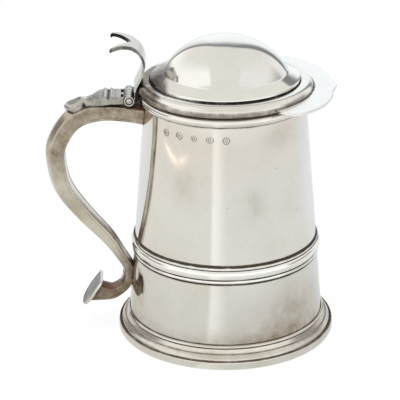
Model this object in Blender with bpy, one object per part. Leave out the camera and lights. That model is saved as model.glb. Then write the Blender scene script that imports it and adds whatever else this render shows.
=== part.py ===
"""Lidded silver tankard, in metres with +Z up.

A tapered drum stands on a moulded foot, with a girdle round its lower half and a moulded lip.
A domed lid with a cushion rim, a front peak and a forked thumbpiece swings on a five-knuckle
hinge. The hinge sits on a plate that runs down the back of a hollow scroll handle.
The handle points to -X and the lid's peak to +X.
"""

import math

import bmesh
import bpy
from mathutils import Vector

# Gaps between pieces
SOLDER_GAP = 0.0003
RUNNING_GAP = 0.0003
SEAT_GAP = 0.0003

# Facets of a full turn
TURNED_FACETS = 40
HINGE_FACETS = 24

# Drum
DRUM_HEIGHT = 0.1424
DRUM_BOTTOM = 0.0040
DRUM_FOOT_RADIUS = 0.0554
DRUM_MOUTH_RADIUS = 0.0450
DRUM_WALL = 0.0010

# Foot and base
FOOT_SPREAD = 0.0066
FOOT_HEIGHT = 0.0121
FOOT_RIM_HEIGHT = 0.0048
FOOT_RIM_STEP = 0.0008
FOOT_EDGE_ROUND = 0.0006
FOOT_BEAD_HEIGHT = 0.0019
FOOT_BEAD_DEPTH = 0.0016
FOOT_LEDGE = 0.0005
FOOT_SLOPE_HOLLOW = 0.0010
FOOT_STANDING_WIDTH = 0.0034
FOOT_SHELF_WIDTH = 0.0012
FOOT_SHELF_THICKNESS = 0.0008
BASE_HEIGHT = 0.0054
BASE_THICKNESS = 0.0012

# Girdle
GIRDLE_HEIGHT = 0.0531
GIRDLE_ROLL_WIDTH = 0.0055
GIRDLE_ROLL_DEPTH = 0.0012
GIRDLE_REED_WIDTH = 0.0022
GIRDLE_REED_DEPTH = 0.0007

# Lip
LIP_WIDTH = 0.0050
LIP_BEAD_WIDTH = 0.0030
LIP_BEAD_DEPTH = 0.0033
LIP_FILLET_DEPTH = 0.0024
LIP_CHAMFER = 0.0007

# Lid
LID_LEDGE_INSET = 0.0040
LID_LEDGE_RISE = 0.0021
LID_SWEEP_WIDTH = 0.0065
LID_BALL_MARGIN = 0.0065
LID_EDGE_ROUND = 0.0007
LID_WALL = 0.0012
RIM_OVERHANG = 0.0040
RIM_HEIGHT = 0.0072
RIM_WIDEST = 0.0029
RIM_CROWN_INSET = 0.0005
RIM_EDGE_ROUND = 0.0004
RIM_WALL = 0.0012
BEZEL_DEPTH = 0.0035
BEZEL_WALL = 0.0010

# Peak of the lid
PEAK_REACH = 0.0130
PEAK_SPREAD = math.radians(58)
PEAK_SCALLOP = 0.0016
PEAK_SCALLOP_SHARE = 0.42
PEAK_END_SHARE = 0.86
PEAK_END_REACH = 0.0006
PEAK_THICKNESS = 0.0013
PEAK_LIFT = 0.0019
PEAK_STEPS = 24

# Hinge
HINGE_WIDTH = 0.0200
HINGE_PIN_RADIUS = 0.0018
HINGE_PIN_DROP = 0.0021
KNUCKLE_COUNT = 5
KNUCKLE_RADIUS = 0.0029
KNUCKLE_BORE = 0.0021
LEAF_THICKNESS = 0.0008
LEAF_WIDTH = 0.0150
LEAF_RISE = 0.0019
LEAF_OVERLAP = 0.0008

# Handle
FINGER_ROOM = 0.0418
HANDLE_DEPTH = 0.0113
HANDLE_WIDTH = 0.0164
HANDLE_WALL = 0.0010
HANDLE_CROWN = 0.0015
HANDLE_EDGE = 0.0016
HANDLE_LOW_JOIN = 0.0275
HANDLE_SAMPLES = 3
HANDLE_LOOK = 0.3

# Hinge plate on the handle's back, with its reeds and its drop
PLATE_WIDTH = 0.0180
PLATE_RISE = 0.0016
PLATE_NOTCH = 0.0010
PLATE_BLOCK_START = 0.0061
PLATE_BLOCK_LENGTH = 0.0050
PLATE_BLOCK_LIFT = 0.0004
PLATE_REED_COUNT = 2
PLATE_REED_DEPTH = 0.0005
PLATE_NECK = 0.0205
PLATE_NECK_WIDTH = 0.0116
PLATE_NECK_THICKNESS = 0.0032
DROP_LENGTH = 0.0120
DROP_WIDTH = 0.0140
DROP_THICKNESS = 0.0042
DROP_TIP_WIDTH = 0.0016
PLATE_EDGE_ROUND = 0.0003
PLATE_ROUND_START = 0.4
PLATE_STEP = 0.0008
BACK_WALK = 0.002

# Terminal of the handle's tail
TERMINAL_LENGTH = 0.0190
TERMINAL_WIDTH = 0.0206
TERMINAL_TOP_WIDTH = 0.0160
TERMINAL_THICKNESS = 0.0013
TERMINAL_TILT = math.radians(35)
TERMINAL_DROP = 0.0012

# Thumbpiece
THUMB_HEIGHT = 0.0271
THUMB_WIDTH = 0.0292
THUMB_THICKNESS = 0.0014
THUMB_CROTCH = 0.10
THUMB_CURL_RADIUS = 0.0008
THUMB_TIP_ROUND = 0.0004
THUMB_SAMPLES = 3

# Inner line of the handle from the drum's lip to the tail: how far it stands out of the drum as a
# share of the finger room, its height as a share of the span from the low join to the top arm, and
# its depth and width as shares of the handle's own.
HANDLE_LINE = (
    (0.000, 0.976, 0.82, 1.00),
    (0.253, 0.995, 0.77, 1.00),
    (0.565, 1.000, 0.77, 0.99),
    (0.835, 0.960, 0.90, 0.94),
    (0.990, 0.859, 0.95, 0.88),
    (1.015, 0.765, 0.95, 0.82),
    (0.915, 0.602, 0.88, 0.76),
    (0.640, 0.444, 0.77, 0.71),
    (0.321, 0.297, 0.66, 0.67),
    (0.100, 0.166, 0.50, 0.65),
    (0.000, 0.099, 0.46, 0.63),
    (0.000, 0.000, 0.46, 0.62),
    (0.069, -0.044, 0.51, 0.61),
    (0.240, -0.096, 0.70, 0.61),
    (0.490, -0.104, 0.98, 0.61),
)

# Middle line of the thumbpiece seen from the side, from its foot on the hinge leaf, as shares of its
# height: across towards the lid, up, half its width as a share of the fork's, and half the fork's gap.
THUMB_LINE = (
    (0.000, 0.000, 0.27, 0.0),
    (0.004, 0.067, 0.28, 0.0),
    (0.059, 0.180, 0.29, 0.0),
    (0.129, 0.317, 0.30, 0.0),
    (0.177, 0.479, 0.31, 0.0),
    (0.196, 0.592, 0.32, 0.0),
    (0.155, 0.746, 0.33, 0.0),
    (0.063, 0.873, 0.33, 0.0),
    (-0.073, 0.961, 0.34, 0.0),
    (-0.240, 1.000, 0.40, 0.17),
    (-0.355, 1.000, 0.46, 0.29),
    (-0.432, 0.985, 0.50, 0.37),
)

# Places worked out from the sizes above
FOOT_RADIUS = DRUM_FOOT_RADIUS + FOOT_SPREAD
LID_SEAT = DRUM_HEIGHT + SEAT_GAP
RIM_RADIUS = DRUM_MOUTH_RADIUS + RIM_OVERHANG
RIM_CROWN_RADIUS = DRUM_MOUTH_RADIUS - RIM_CROWN_INSET
LID_LEDGE_RADIUS = DRUM_MOUTH_RADIUS - LID_LEDGE_INSET
LID_LEDGE_Z = LID_SEAT + RIM_HEIGHT + LID_LEDGE_RISE
LID_BREAK_RADIUS = LID_LEDGE_RADIUS - LID_SWEEP_WIDTH
LID_BALL_RADIUS = LID_BREAK_RADIUS + LID_BALL_MARGIN
LIP_BOTTOM = DRUM_HEIGHT - LIP_WIDTH
HINGE_X = -(RIM_RADIUS + SOLDER_GAP + LEAF_THICKNESS + RUNNING_GAP + KNUCKLE_RADIUS)
HINGE_Z = DRUM_HEIGHT - HINGE_PIN_DROP
KNUCKLE_WIDTH = (HINGE_WIDTH - (KNUCKLE_COUNT - 1) * RUNNING_GAP) / KNUCKLE_COUNT
HANDLE_TOP = HINGE_Z - KNUCKLE_RADIUS - RUNNING_GAP - HANDLE_LINE[1][2] * HANDLE_DEPTH
PLATE_END_X = HINGE_X - KNUCKLE_RADIUS - SOLDER_GAP
LEAF_TOP = LID_SEAT + LEAF_RISE
THUMB_FOOT_X = -(RIM_RADIUS + SOLDER_GAP + THUMB_THICKNESS / 2)
THUMB_FOOT_Z = LEAF_TOP + SOLDER_GAP


def clear_scene():
    """Remove every object of the scene."""
    for old in list(bpy.data.objects):
        bpy.data.objects.remove(old, do_unlink=True)


def silver(name, colour, roughness):
    """Material of polished silver."""
    material = bpy.data.materials.new(name)
    material.use_nodes = True
    shader = material.node_tree.nodes["Principled BSDF"]
    shader.inputs["Base Color"].default_value = (*colour, 1.0)
    shader.inputs["Metallic"].default_value = 1.0
    shader.inputs["Roughness"].default_value = roughness
    return material


def empty(name, place, parent):
    """Empty that carries pieces."""
    holder = bpy.data.objects.new(name, None)
    bpy.context.collection.objects.link(holder)
    holder.location = place
    holder.parent = parent
    return holder


def piece(name, bm, colour, roughness, parent, origin=Vector()):
    """Object of one closed mesh, given in the drum's own frame, under an empty at origin."""
    bmesh.ops.remove_doubles(bm, verts=bm.verts, dist=1e-7)
    bmesh.ops.recalc_face_normals(bm, faces=bm.faces)
    mesh = bpy.data.meshes.new(name)
    bm.to_mesh(mesh)
    bm.free()
    mesh.shade_smooth()
    mesh.set_sharp_from_angle(angle=math.radians(35))
    mesh.materials.append(silver(name + "_silver", colour, roughness))
    built = bpy.data.objects.new(name, mesh)
    bpy.context.collection.objects.link(built)
    built.location = -origin
    built.parent = parent
    return built


def arc(centre_r, centre_z, radius_r, radius_z, start, end, steps):
    """Points of an elliptic arc in the turning plane, angles in degrees from the +R direction."""
    points = []
    for step in range(steps + 1):
        angle = math.radians(start + (end - start) * step / steps)
        points.append((centre_r + radius_r * math.cos(angle), centre_z + radius_z * math.sin(angle)))
    return points


def turned(outline, facets=TURNED_FACETS):
    """Solid turned about Z from an outline of (radius, height) that runs down its outer side."""
    bm = bmesh.new()
    verts = [bm.verts.new((radius, 0.0, height)) for radius, height in outline]
    edges = [bm.edges.new(pair) for pair in zip(verts, verts[1:])]
    on_axis = outline[0][0] == 0.0 and outline[-1][0] == 0.0
    if not on_axis:
        edges.append(bm.edges.new((verts[-1], verts[0])))
    bmesh.ops.spin(
        bm, geom=verts + edges, axis=(0, 0, 1), cent=(0, 0, 0),
        angle=2 * math.pi, steps=facets, use_merge=True, use_duplicate=False,
    )
    bmesh.ops.remove_doubles(bm, verts=bm.verts, dist=1e-7)
    return bm


def lofted(rings):
    """Closed solid through rings whose second half runs back beside the first."""
    bm = bmesh.new()
    rows = [[bm.verts.new(point) for point in ring] for ring in rings]
    count = len(rows[0])
    for low, high in zip(rows, rows[1:]):
        for i in range(count):
            j = (i + 1) % count
            bm.faces.new((low[i], low[j], high[j], high[i]))
    for row in (rows[0], rows[-1]):
        for i in range(count // 2 - 1):
            bm.faces.new((row[i], row[i + 1], row[count - 2 - i], row[count - 1 - i]))
    return bm


def extruded(outline, direction):
    """Prism of a flat closed outline, pushed along a direction."""
    bm = bmesh.new()
    face = bm.faces.new([bm.verts.new(point) for point in outline])
    pushed = bmesh.ops.extrude_face_region(bm, geom=[face])
    moved = [item for item in pushed["geom"] if isinstance(item, bmesh.types.BMVert)]
    bmesh.ops.translate(bm, verts=moved, vec=direction)
    return bm


def smooth_row(rows, place):
    """Values of a smooth curve through rows of numbers, place counting rows from 0."""
    last = len(rows) - 1
    index = min(int(place), last - 1)
    t = place - index
    before = rows[max(index - 1, 0)]
    start = rows[index]
    end = rows[index + 1]
    after = rows[min(index + 2, last)]
    values = []
    for a, b, c, d in zip(before, start, end, after):
        bend = 2 * a - 5 * b + 4 * c - d
        twist = 3 * (b - c) + d - a
        values.append(b + 0.5 * t * (c - a + t * (bend + t * twist)))
    return values


def ease(value, start, end):
    """Smooth step from 0 at start to 1 at end."""
    t = min(max((value - start) / (end - start), 0.0), 1.0)
    return t * t * (3 - 2 * t)


def drum_outer(height):
    """Outer radius of the drum's straight wall at a height."""
    share = (height - FOOT_HEIGHT) / (DRUM_HEIGHT - FOOT_HEIGHT)
    return DRUM_FOOT_RADIUS + (DRUM_MOUTH_RADIUS - DRUM_FOOT_RADIUS) * share


def build_drum(parent):
    """Open tapered tube of the body."""
    outline = [
        (drum_outer(DRUM_HEIGHT), DRUM_HEIGHT),
        (drum_outer(DRUM_BOTTOM), DRUM_BOTTOM),
        (drum_outer(DRUM_BOTTOM) - DRUM_WALL, DRUM_BOTTOM),
        (drum_outer(DRUM_HEIGHT) - DRUM_WALL, DRUM_HEIGHT),
    ]
    piece("body_drum", turned(outline), (0.74, 0.72, 0.69), 0.28, parent)


def build_base(parent):
    """Round plate that closes the drum's bottom from inside."""
    low, high = BASE_HEIGHT, BASE_HEIGHT + BASE_THICKNESS
    fit = DRUM_WALL + SOLDER_GAP
    outline = [(0.0, high), (drum_outer(high) - fit, high), (drum_outer(low) - fit, low), (0.0, low)]
    piece("base_plate", turned(outline), (0.66, 0.63, 0.59), 0.35, parent)


def build_foot(parent):
    """Moulded ring that the tankard stands on."""
    wall_top = drum_outer(FOOT_HEIGHT) + SOLDER_GAP
    shelf = DRUM_BOTTOM - SOLDER_GAP
    wall_shelf = drum_outer(shelf) + SOLDER_GAP
    half_bead = FOOT_BEAD_HEIGHT / 2
    bead = arc(wall_top, FOOT_HEIGHT - half_bead, FOOT_BEAD_DEPTH, half_bead, 90, -60, 4)
    slope_top = bead[-1][0] + FOOT_LEDGE
    slope_run = FOOT_RADIUS - 2 * FOOT_RIM_STEP - slope_top
    bead_low = FOOT_HEIGHT - FOOT_BEAD_HEIGHT
    slope = []
    for share in (0.0, 0.25, 0.5, 0.75, 1.0):
        height = bead_low - (bead_low - FOOT_RIM_HEIGHT) * share
        slope.append((slope_top + slope_run * share, height - FOOT_SLOPE_HOLLOW * math.sin(math.pi * share)))
    half_rim = FOOT_RIM_HEIGHT / 2
    rim = arc(FOOT_RADIUS - FOOT_RIM_STEP, half_rim, FOOT_RIM_STEP, half_rim, 80, 0, 3)
    sole = [
        (FOOT_RADIUS, FOOT_EDGE_ROUND),
        (FOOT_RADIUS - FOOT_EDGE_ROUND, 0.0),
        (FOOT_RADIUS - FOOT_EDGE_ROUND - FOOT_STANDING_WIDTH, 0.0),
    ]
    inside = [
        (wall_shelf - FOOT_SHELF_WIDTH, shelf - FOOT_SHELF_THICKNESS),
        (wall_shelf - FOOT_SHELF_WIDTH, shelf),
        (wall_shelf, shelf),
    ]
    piece("foot_ring", turned(bead + slope + rim + sole + inside), (0.71, 0.68, 0.64), 0.26, parent)


def build_girdle(parent):
    """Moulded band soldered round the drum: a roll between two reeds."""
    outline = []
    low = GIRDLE_HEIGHT - GIRDLE_ROLL_WIDTH / 2
    high = GIRDLE_HEIGHT + GIRDLE_ROLL_WIDTH / 2
    stack = (
        (high + GIRDLE_REED_WIDTH, high, GIRDLE_REED_DEPTH, 3),
        (high, low, GIRDLE_ROLL_DEPTH, 5),
        (low, low - GIRDLE_REED_WIDTH, GIRDLE_REED_DEPTH, 3),
    )
    for top, bottom, depth, steps in stack:
        middle = (top + bottom) / 2
        wall = drum_outer(middle) + SOLDER_GAP
        outline += arc(wall, middle, depth, (top - bottom) / 2, 80, -80, steps)
    bottom = low - GIRDLE_REED_WIDTH
    top = high + GIRDLE_REED_WIDTH
    outline.append((drum_outer(bottom) + SOLDER_GAP, bottom))
    outline.append((drum_outer(top) + SOLDER_GAP, top))
    piece("girdle_band", turned(outline), (0.73, 0.70, 0.66), 0.24, parent)


def build_lip(parent):
    """Moulded ring round the drum's mouth: a bead over a fillet."""
    bead_low = DRUM_HEIGHT - LIP_BEAD_WIDTH
    bead_middle = DRUM_HEIGHT - LIP_BEAD_WIDTH / 2
    wall = drum_outer(bead_middle) + SOLDER_GAP
    half = LIP_BEAD_WIDTH / 2
    outline = arc(wall + LIP_BEAD_DEPTH - half, bead_middle, half, half, 90, -70, 5)
    outline += [
        (wall + LIP_FILLET_DEPTH, bead_low),
        (wall + LIP_FILLET_DEPTH, LIP_BOTTOM + LIP_CHAMFER),
        (wall + LIP_FILLET_DEPTH - LIP_CHAMFER, LIP_BOTTOM),
        (drum_outer(LIP_BOTTOM) + SOLDER_GAP, LIP_BOTTOM),
        (drum_outer(DRUM_HEIGHT) + SOLDER_GAP, DRUM_HEIGHT),
    ]
    piece("lip_moulding", turned(outline), (0.73, 0.70, 0.66), 0.24, parent)


def dome_outline(shrink, steps):
    """Points of the dome from its top down to the ledge, shrunk inwards along its own normal."""
    break_angle = math.asin(LID_BREAK_RADIUS / LID_BALL_RADIUS)
    sweep = LID_SWEEP_WIDTH / math.sin(break_angle)
    sweep_z = LID_LEDGE_Z + sweep
    centre = sweep_z - (LID_BALL_RADIUS + sweep) * math.cos(break_angle)
    ball = LID_BALL_RADIUS - shrink
    reach = sweep + shrink
    points = []
    for step in range(steps + 1):
        angle = break_angle * step / steps
        points.append((ball * math.sin(angle), centre + ball * math.cos(angle)))
    for step in range(1, steps // 2 + 1):
        angle = break_angle * (1 - 2 * step / steps)
        points.append((LID_LEDGE_RADIUS - reach * math.sin(angle), sweep_z - reach * math.cos(angle)))
    return points


def build_lid_dome(parent, origin):
    """Raised dome of the lid with its turned-down skirt."""
    skirt_low = LID_SEAT + RIM_HEIGHT - RIM_WALL
    edge = LID_LEDGE_RADIUS + LID_EDGE_ROUND
    outer = dome_outline(0.0, 6)
    inner = dome_outline(LID_WALL, 6)
    skirt = [(edge, outer[-1][1] - LID_EDGE_ROUND), (edge, skirt_low), (edge - LID_WALL, skirt_low)]
    inner_edge = (edge - LID_WALL, inner[-1][1] - LID_EDGE_ROUND)
    outline = outer + skirt + [inner_edge] + inner[-2::-1]
    piece("lid_dome", turned(outline), (0.78, 0.77, 0.75), 0.14, parent, origin)


def build_lid_rim(parent, origin):
    """Hollow cushion moulding round the lid, with the flat that rests on the lip."""
    top = LID_SEAT + RIM_HEIGHT
    inside = LID_LEDGE_RADIUS + LID_EDGE_ROUND + SOLDER_GAP
    widest = LID_SEAT + RIM_WIDEST
    swell = RIM_RADIUS - RIM_CROWN_RADIUS
    outer = arc(RIM_CROWN_RADIUS, widest, swell, top - widest, 90, 0, 5)
    outer += arc(RIM_CROWN_RADIUS, widest, swell, RIM_WIDEST, -30, -60, 1)
    seat_edge = outer[-1][0] - RIM_EDGE_ROUND
    inner = arc(RIM_CROWN_RADIUS, widest, swell - RIM_WALL, top - widest - RIM_WALL, 0, 90, 4)
    flat_inside = DRUM_MOUTH_RADIUS - DRUM_WALL - RUNNING_GAP - BEZEL_WALL
    outline = [(inside, top - RIM_EDGE_ROUND)] + outer
    outline += [(seat_edge, LID_SEAT), (flat_inside, LID_SEAT), (flat_inside, LID_SEAT + RIM_WALL)]
    outline += [(RIM_RADIUS - 2 * RIM_WALL, LID_SEAT + RIM_WALL)] + inner + [(inside, top - RIM_WALL)]
    piece("lid_rim_moulding", turned(outline), (0.73, 0.70, 0.66), 0.22, parent, origin)


def build_bezel(parent, origin):
    """Ring under the lid that drops inside the drum's mouth."""
    outside = DRUM_MOUTH_RADIUS - DRUM_WALL - RUNNING_GAP
    top = LID_SEAT - SOLDER_GAP
    low = top - BEZEL_DEPTH
    outline = [(outside, top), (outside, low), (outside - BEZEL_WALL, low), (outside - BEZEL_WALL, top)]
    piece("lid_bezel", turned(outline), (0.70, 0.67, 0.62), 0.3, parent, origin)


def peak_edge(angle):
    """Outer radius of the lid's peak at an angle from the front."""
    share = abs(angle) / PEAK_SPREAD
    hollow = min(share / PEAK_SCALLOP_SHARE, 1.0)
    swell = min(max((share - PEAK_SCALLOP_SHARE) / (PEAK_END_SHARE - PEAK_SCALLOP_SHARE), 0.0), 1.0)
    wave = math.sin(math.pi * hollow) ** 2 - math.sin(math.pi * swell) / 2
    end = max((share - PEAK_END_SHARE) / (1 - PEAK_END_SHARE), 0.0)
    reach = (PEAK_REACH - PEAK_SCALLOP * wave - PEAK_END_REACH) * math.sqrt(max(1 - end * end, 0.0))
    return RIM_RADIUS + SOLDER_GAP + PEAK_END_REACH + reach


def build_peak(parent, origin):
    """Flat shaped peak at the front of the lid's rim."""
    lift = Vector((0.0, 0.0, LID_SEAT + PEAK_LIFT))
    rise = Vector((0.0, 0.0, PEAK_THICKNESS))
    rings = []
    for step in range(PEAK_STEPS + 1):
        angle = PEAK_SPREAD * (2 * step / PEAK_STEPS - 1)
        across = Vector((math.cos(angle), math.sin(angle), 0.0))
        inner = across * (RIM_RADIUS + SOLDER_GAP) + lift
        outer = across * peak_edge(angle) + lift
        rings.append([inner, outer, outer + rise, inner + rise])
    piece("lid_peak", lofted(rings), (0.88, 0.88, 0.86), 0.3, parent, origin)


def knuckle_middle(index):
    """Place of a knuckle's middle along the hinge."""
    return -HINGE_WIDTH / 2 + KNUCKLE_WIDTH / 2 + index * (KNUCKLE_WIDTH + RUNNING_GAP)


def build_knuckle(name, index, parent, axis_place):
    """Short tube of the hinge, standing on the hinge's axis."""
    half = KNUCKLE_WIDTH / 2
    outline = [(KNUCKLE_RADIUS, half), (KNUCKLE_RADIUS, -half), (KNUCKLE_BORE, -half), (KNUCKLE_BORE, half)]
    tube = piece(name, turned(outline, HINGE_FACETS), (0.66, 0.64, 0.60), 0.3, parent)
    tube.rotation_euler = (math.radians(90), 0.0, 0.0)
    tube.location = axis_place + Vector((0.0, knuckle_middle(index), 0.0))


def build_pin(parent):
    """Solid pin through all the knuckles."""
    half = HINGE_WIDTH / 2
    outline = [(0.0, half), (HINGE_PIN_RADIUS, half), (HINGE_PIN_RADIUS, -half), (0.0, -half)]
    pin = piece("hinge_pin", turned(outline, HINGE_FACETS), (0.70, 0.68, 0.64), 0.25, parent)
    pin.rotation_euler = (math.radians(90), 0.0, 0.0)
    pin.location = (HINGE_X, 0.0, HINGE_Z)


def build_leaf(parent, origin):
    """Plate that joins the lid's knuckles to its rim, with a tab down to each knuckle."""
    back = -(RIM_RADIUS + SOLDER_GAP)
    low = HINGE_Z + KNUCKLE_RADIUS - LEAF_OVERLAP
    half = LEAF_WIDTH / 2
    points = [(half, LEAF_TOP), (-half, LEAF_TOP), (-half, low)]
    for index in (1, 3):
        middle = knuckle_middle(index)
        start = middle - KNUCKLE_WIDTH / 2
        stop = middle + KNUCKLE_WIDTH / 2
        points += [(start, low), (start, HINGE_Z), (stop, HINGE_Z), (stop, low)]
    points.append((half, low))
    outline = [Vector((back, y, z)) for y, z in points]
    bm = extruded(outline, Vector((-LEAF_THICKNESS, 0.0, 0.0)))
    piece("lid_hinge_leaf", bm, (0.62, 0.59, 0.54), 0.35, parent, origin)


def build_thumbpiece(parent, origin):
    """Curved plate that rises from the hinge, curls back over the handle and forks in two."""
    rows = []
    last = len(THUMB_LINE) - 1
    for step in range(last * THUMB_SAMPLES + 1):
        across, up, half, gap = smooth_row(THUMB_LINE, step / THUMB_SAMPLES)
        place = Vector((THUMB_FOOT_X + across * THUMB_HEIGHT, 0.0, THUMB_FOOT_Z + up * THUMB_HEIGHT))
        forked = gap > THUMB_CROTCH / 2
        rows.append((place, half * THUMB_WIDTH, max(gap, THUMB_CROTCH) * THUMB_WIDTH, forked))
    end, half, gap, _ = rows[-1]
    heading = (end - rows[-2][0]).normalized()
    inward = Vector((heading.z, 0.0, -heading.x))
    if inward.z > 0:
        inward.negate()
    for step in (1, 2):
        turn = math.radians(45 * step)
        bend = heading * math.sin(turn) + inward * (1 - math.cos(turn))
        tip = THUMB_TIP_ROUND * step
        rows.append((end + bend * THUMB_CURL_RADIUS, half - tip, gap + tip, True))
    bm = bmesh.new()
    lines = []
    for place, half, gap, forked in rows:
        shares = (-half, -(half + gap) / 2, -gap, gap, (half + gap) / 2, half)
        lines.append([bm.verts.new(place + Vector((0.0, y, 0.0))) for y in shares])
    for low, high, row in zip(lines, lines[1:], rows[1:]):
        columns = (0, 1, 3, 4) if row[3] else range(5)
        for i in columns:
            bm.faces.new((low[i], low[i + 1], high[i + 1], high[i]))
    plate = piece("thumbpiece", bm, (0.76, 0.74, 0.71), 0.22, parent, origin)
    wall = plate.modifiers.new("wall", "SOLIDIFY")
    wall.thickness = THUMB_THICKNESS
    wall.offset = 0.0


def handle_frame(place):
    """Inner point, direction, outward normal, depth and half width of the handle along its line."""
    def inner_point(at, least_out):
        out, up, _, _ = smooth_row(HANDLE_LINE, at)
        height = HANDLE_LOW_JOIN + up * (HANDLE_TOP - HANDLE_LOW_JOIN)
        reach = drum_outer(height) + SOLDER_GAP + max(out, least_out) * FINGER_ROOM
        return Vector((-reach, 0.0, height))

    last = len(HANDLE_LINE) - 1
    ahead = inner_point(min(place + HANDLE_LOOK, last), -1.0)
    behind = inner_point(max(place - HANDLE_LOOK, 0.0), -1.0)
    heading = (ahead - behind).normalized()
    normal = Vector((heading.z, 0.0, -heading.x))
    _, _, depth, width = smooth_row(HANDLE_LINE, place)
    return inner_point(place, 0.0), heading, normal, depth * HANDLE_DEPTH, width * HANDLE_WIDTH / 2


def channel_half(depth, half, edge):
    """Half a channel's curve, from the foot of its side to its crown, as (across, out)."""
    flat = half - edge
    shoulder = depth - HANDLE_CROWN
    tilt = edge * math.sqrt(0.5)
    return [
        (half, 0.0),
        (half, shoulder - edge),
        (flat + tilt, shoulder - edge + tilt),
        (flat, shoulder),
        (flat / 2, depth - HANDLE_CROWN / 4),
        (0.0, depth),
    ]


def channel(depth, half, edge):
    """Whole curve of a channel from one side to the other."""
    side = channel_half(depth, half, edge)
    return side + [(-across, out) for across, out in side[-2::-1]]


def seat_on_drum(point):
    """Same point moved along X to the drum's wall."""
    reach = drum_outer(point.z) + SOLDER_GAP
    return Vector((-math.sqrt(reach * reach - point.y * point.y), point.y, point.z))


def tail_plane():
    """Point and outward direction of the terminal's inner face."""
    inner, _, normal, depth, _ = handle_frame(len(HANDLE_LINE) - 1)
    outward = Vector((-math.cos(TERMINAL_TILT), 0.0, math.sin(TERMINAL_TILT)))
    return inner + normal * depth / 2, outward


def handle_rings(section):
    """Rings along the handle, the first on the drum's wall and the last before the terminal."""
    last = len(HANDLE_LINE) - 1
    stops = [step / HANDLE_SAMPLES for step in range(last * HANDLE_SAMPLES - 1)]
    rings = []
    for place in stops + [last]:
        inner, heading, normal, depth, half = handle_frame(place)
        places = section(depth, half)
        rings.append([inner + normal * out + Vector((0.0, across, 0.0)) for across, out in places])
    rings[0] = [seat_on_drum(point) for point in rings[0]]
    middle, outward = tail_plane()
    slope = heading.dot(outward)
    rings[-1] = [p + heading * ((middle - p).dot(outward) - SOLDER_GAP) / slope for p in rings[-1]]
    return rings


def build_handle(parent):
    """Hollow handle: a bent channel for its back and sides, and a flat strip that closes it."""
    def back_section(depth, half):
        outer = channel(depth, half, HANDLE_EDGE)
        inner = channel(depth - HANDLE_WALL, half - HANDLE_WALL, HANDLE_EDGE - HANDLE_WALL)
        return outer + inner[::-1]

    def strip_section(depth, half):
        reach = half - HANDLE_WALL - SOLDER_GAP
        across = [reach * share for share in (1.0, 0.5, 0.0, -0.5, -1.0)]
        return [(y, 0.0) for y in across] + [(y, HANDLE_WALL) for y in across[::-1]]

    back = lofted(handle_rings(back_section))
    piece("handle_back", back, (0.69, 0.66, 0.61), 0.3, parent)
    strip = lofted(handle_rings(strip_section))
    piece("handle_inner_strip", strip, (0.67, 0.63, 0.58), 0.32, parent)


def build_terminal(parent):
    """Shield-shaped plate on the end of the tail."""
    middle, outward = tail_plane()
    down = Vector((-outward.z, 0.0, outward.x))
    centre = middle + down * TERMINAL_DROP
    half_length = TERMINAL_LENGTH / 2
    half_top = TERMINAL_TOP_WIDTH / 2
    half_width = TERMINAL_WIDTH / 2
    side = []
    for step in range(8):
        angle = math.pi * step / 8
        swell = math.sin(angle)
        across = half_top + (half_width - half_top) * swell if step < 4 else half_width * swell ** 0.7
        side.append((across, -half_length * math.cos(angle)))
    points = side + [(0.0, half_length)] + [(-across, along) for across, along in side[::-1]]
    outline = [centre + down * along + Vector((0.0, across, 0.0)) for across, along in points]
    bm = extruded(outline, outward * TERMINAL_THICKNESS)
    piece("handle_terminal", bm, (0.68, 0.65, 0.60), 0.26, parent)


def back_line():
    """Frames of the handle's back from the hinge plate's end to the drop's tip."""
    frames = []
    travelled = 0.0
    previous = None
    place = 0.0
    wanted = 0.0
    while wanted <= PLATE_NECK + DROP_LENGTH + 1e-9:
        inner, _, normal, depth, half = handle_frame(place)
        crown = inner + normal * depth
        if crown.x <= PLATE_END_X:
            travelled += (crown - previous).length if frames else 0.0
            if travelled >= wanted - 1e-9:
                frames.append((travelled, crown, normal, half))
                wanted += PLATE_STEP
            previous = crown
        place += BACK_WALK
    return frames


def plate_half_width(along):
    """Half width of the hinge plate at a distance from its hinge end."""
    block_end = PLATE_BLOCK_START + PLATE_BLOCK_LENGTH
    narrowing = ease(along, block_end, PLATE_NECK)
    half = PLATE_WIDTH / 2 + (PLATE_NECK_WIDTH - PLATE_WIDTH) / 2 * narrowing
    share = (along - PLATE_NECK) / DROP_LENGTH
    if share <= 0:
        return half
    swell = math.sqrt(max(1 - (2 * share - 1) ** 2, 0.0)) * DROP_WIDTH / 2
    return max(swell, PLATE_NECK_WIDTH / 2 * (1 - ease(share, 0.0, 0.3)), DROP_TIP_WIDTH / 2)


def plate_height(along, top):
    """Thickness of the hinge plate on its middle line, top being the flat's own thickness."""
    if along < PLATE_BLOCK_START:
        return top
    block_end = PLATE_BLOCK_START + PLATE_BLOCK_LENGTH
    if along <= block_end:
        share = (along - PLATE_BLOCK_START) / PLATE_BLOCK_LENGTH
        groove = 1 - abs(math.sin(math.pi * share * PLATE_REED_COUNT))
        return top + PLATE_BLOCK_LIFT - PLATE_REED_DEPTH * groove
    fall = ease(along, block_end, PLATE_NECK)
    thickness = top + (PLATE_NECK_THICKNESS - top) * fall
    drop = (along - PLATE_NECK) / DROP_LENGTH
    if drop <= 0:
        return thickness
    return PLATE_NECK_THICKNESS + (DROP_THICKNESS - PLATE_NECK_THICKNESS) * math.sin(math.pi * drop) ** 0.6


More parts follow.
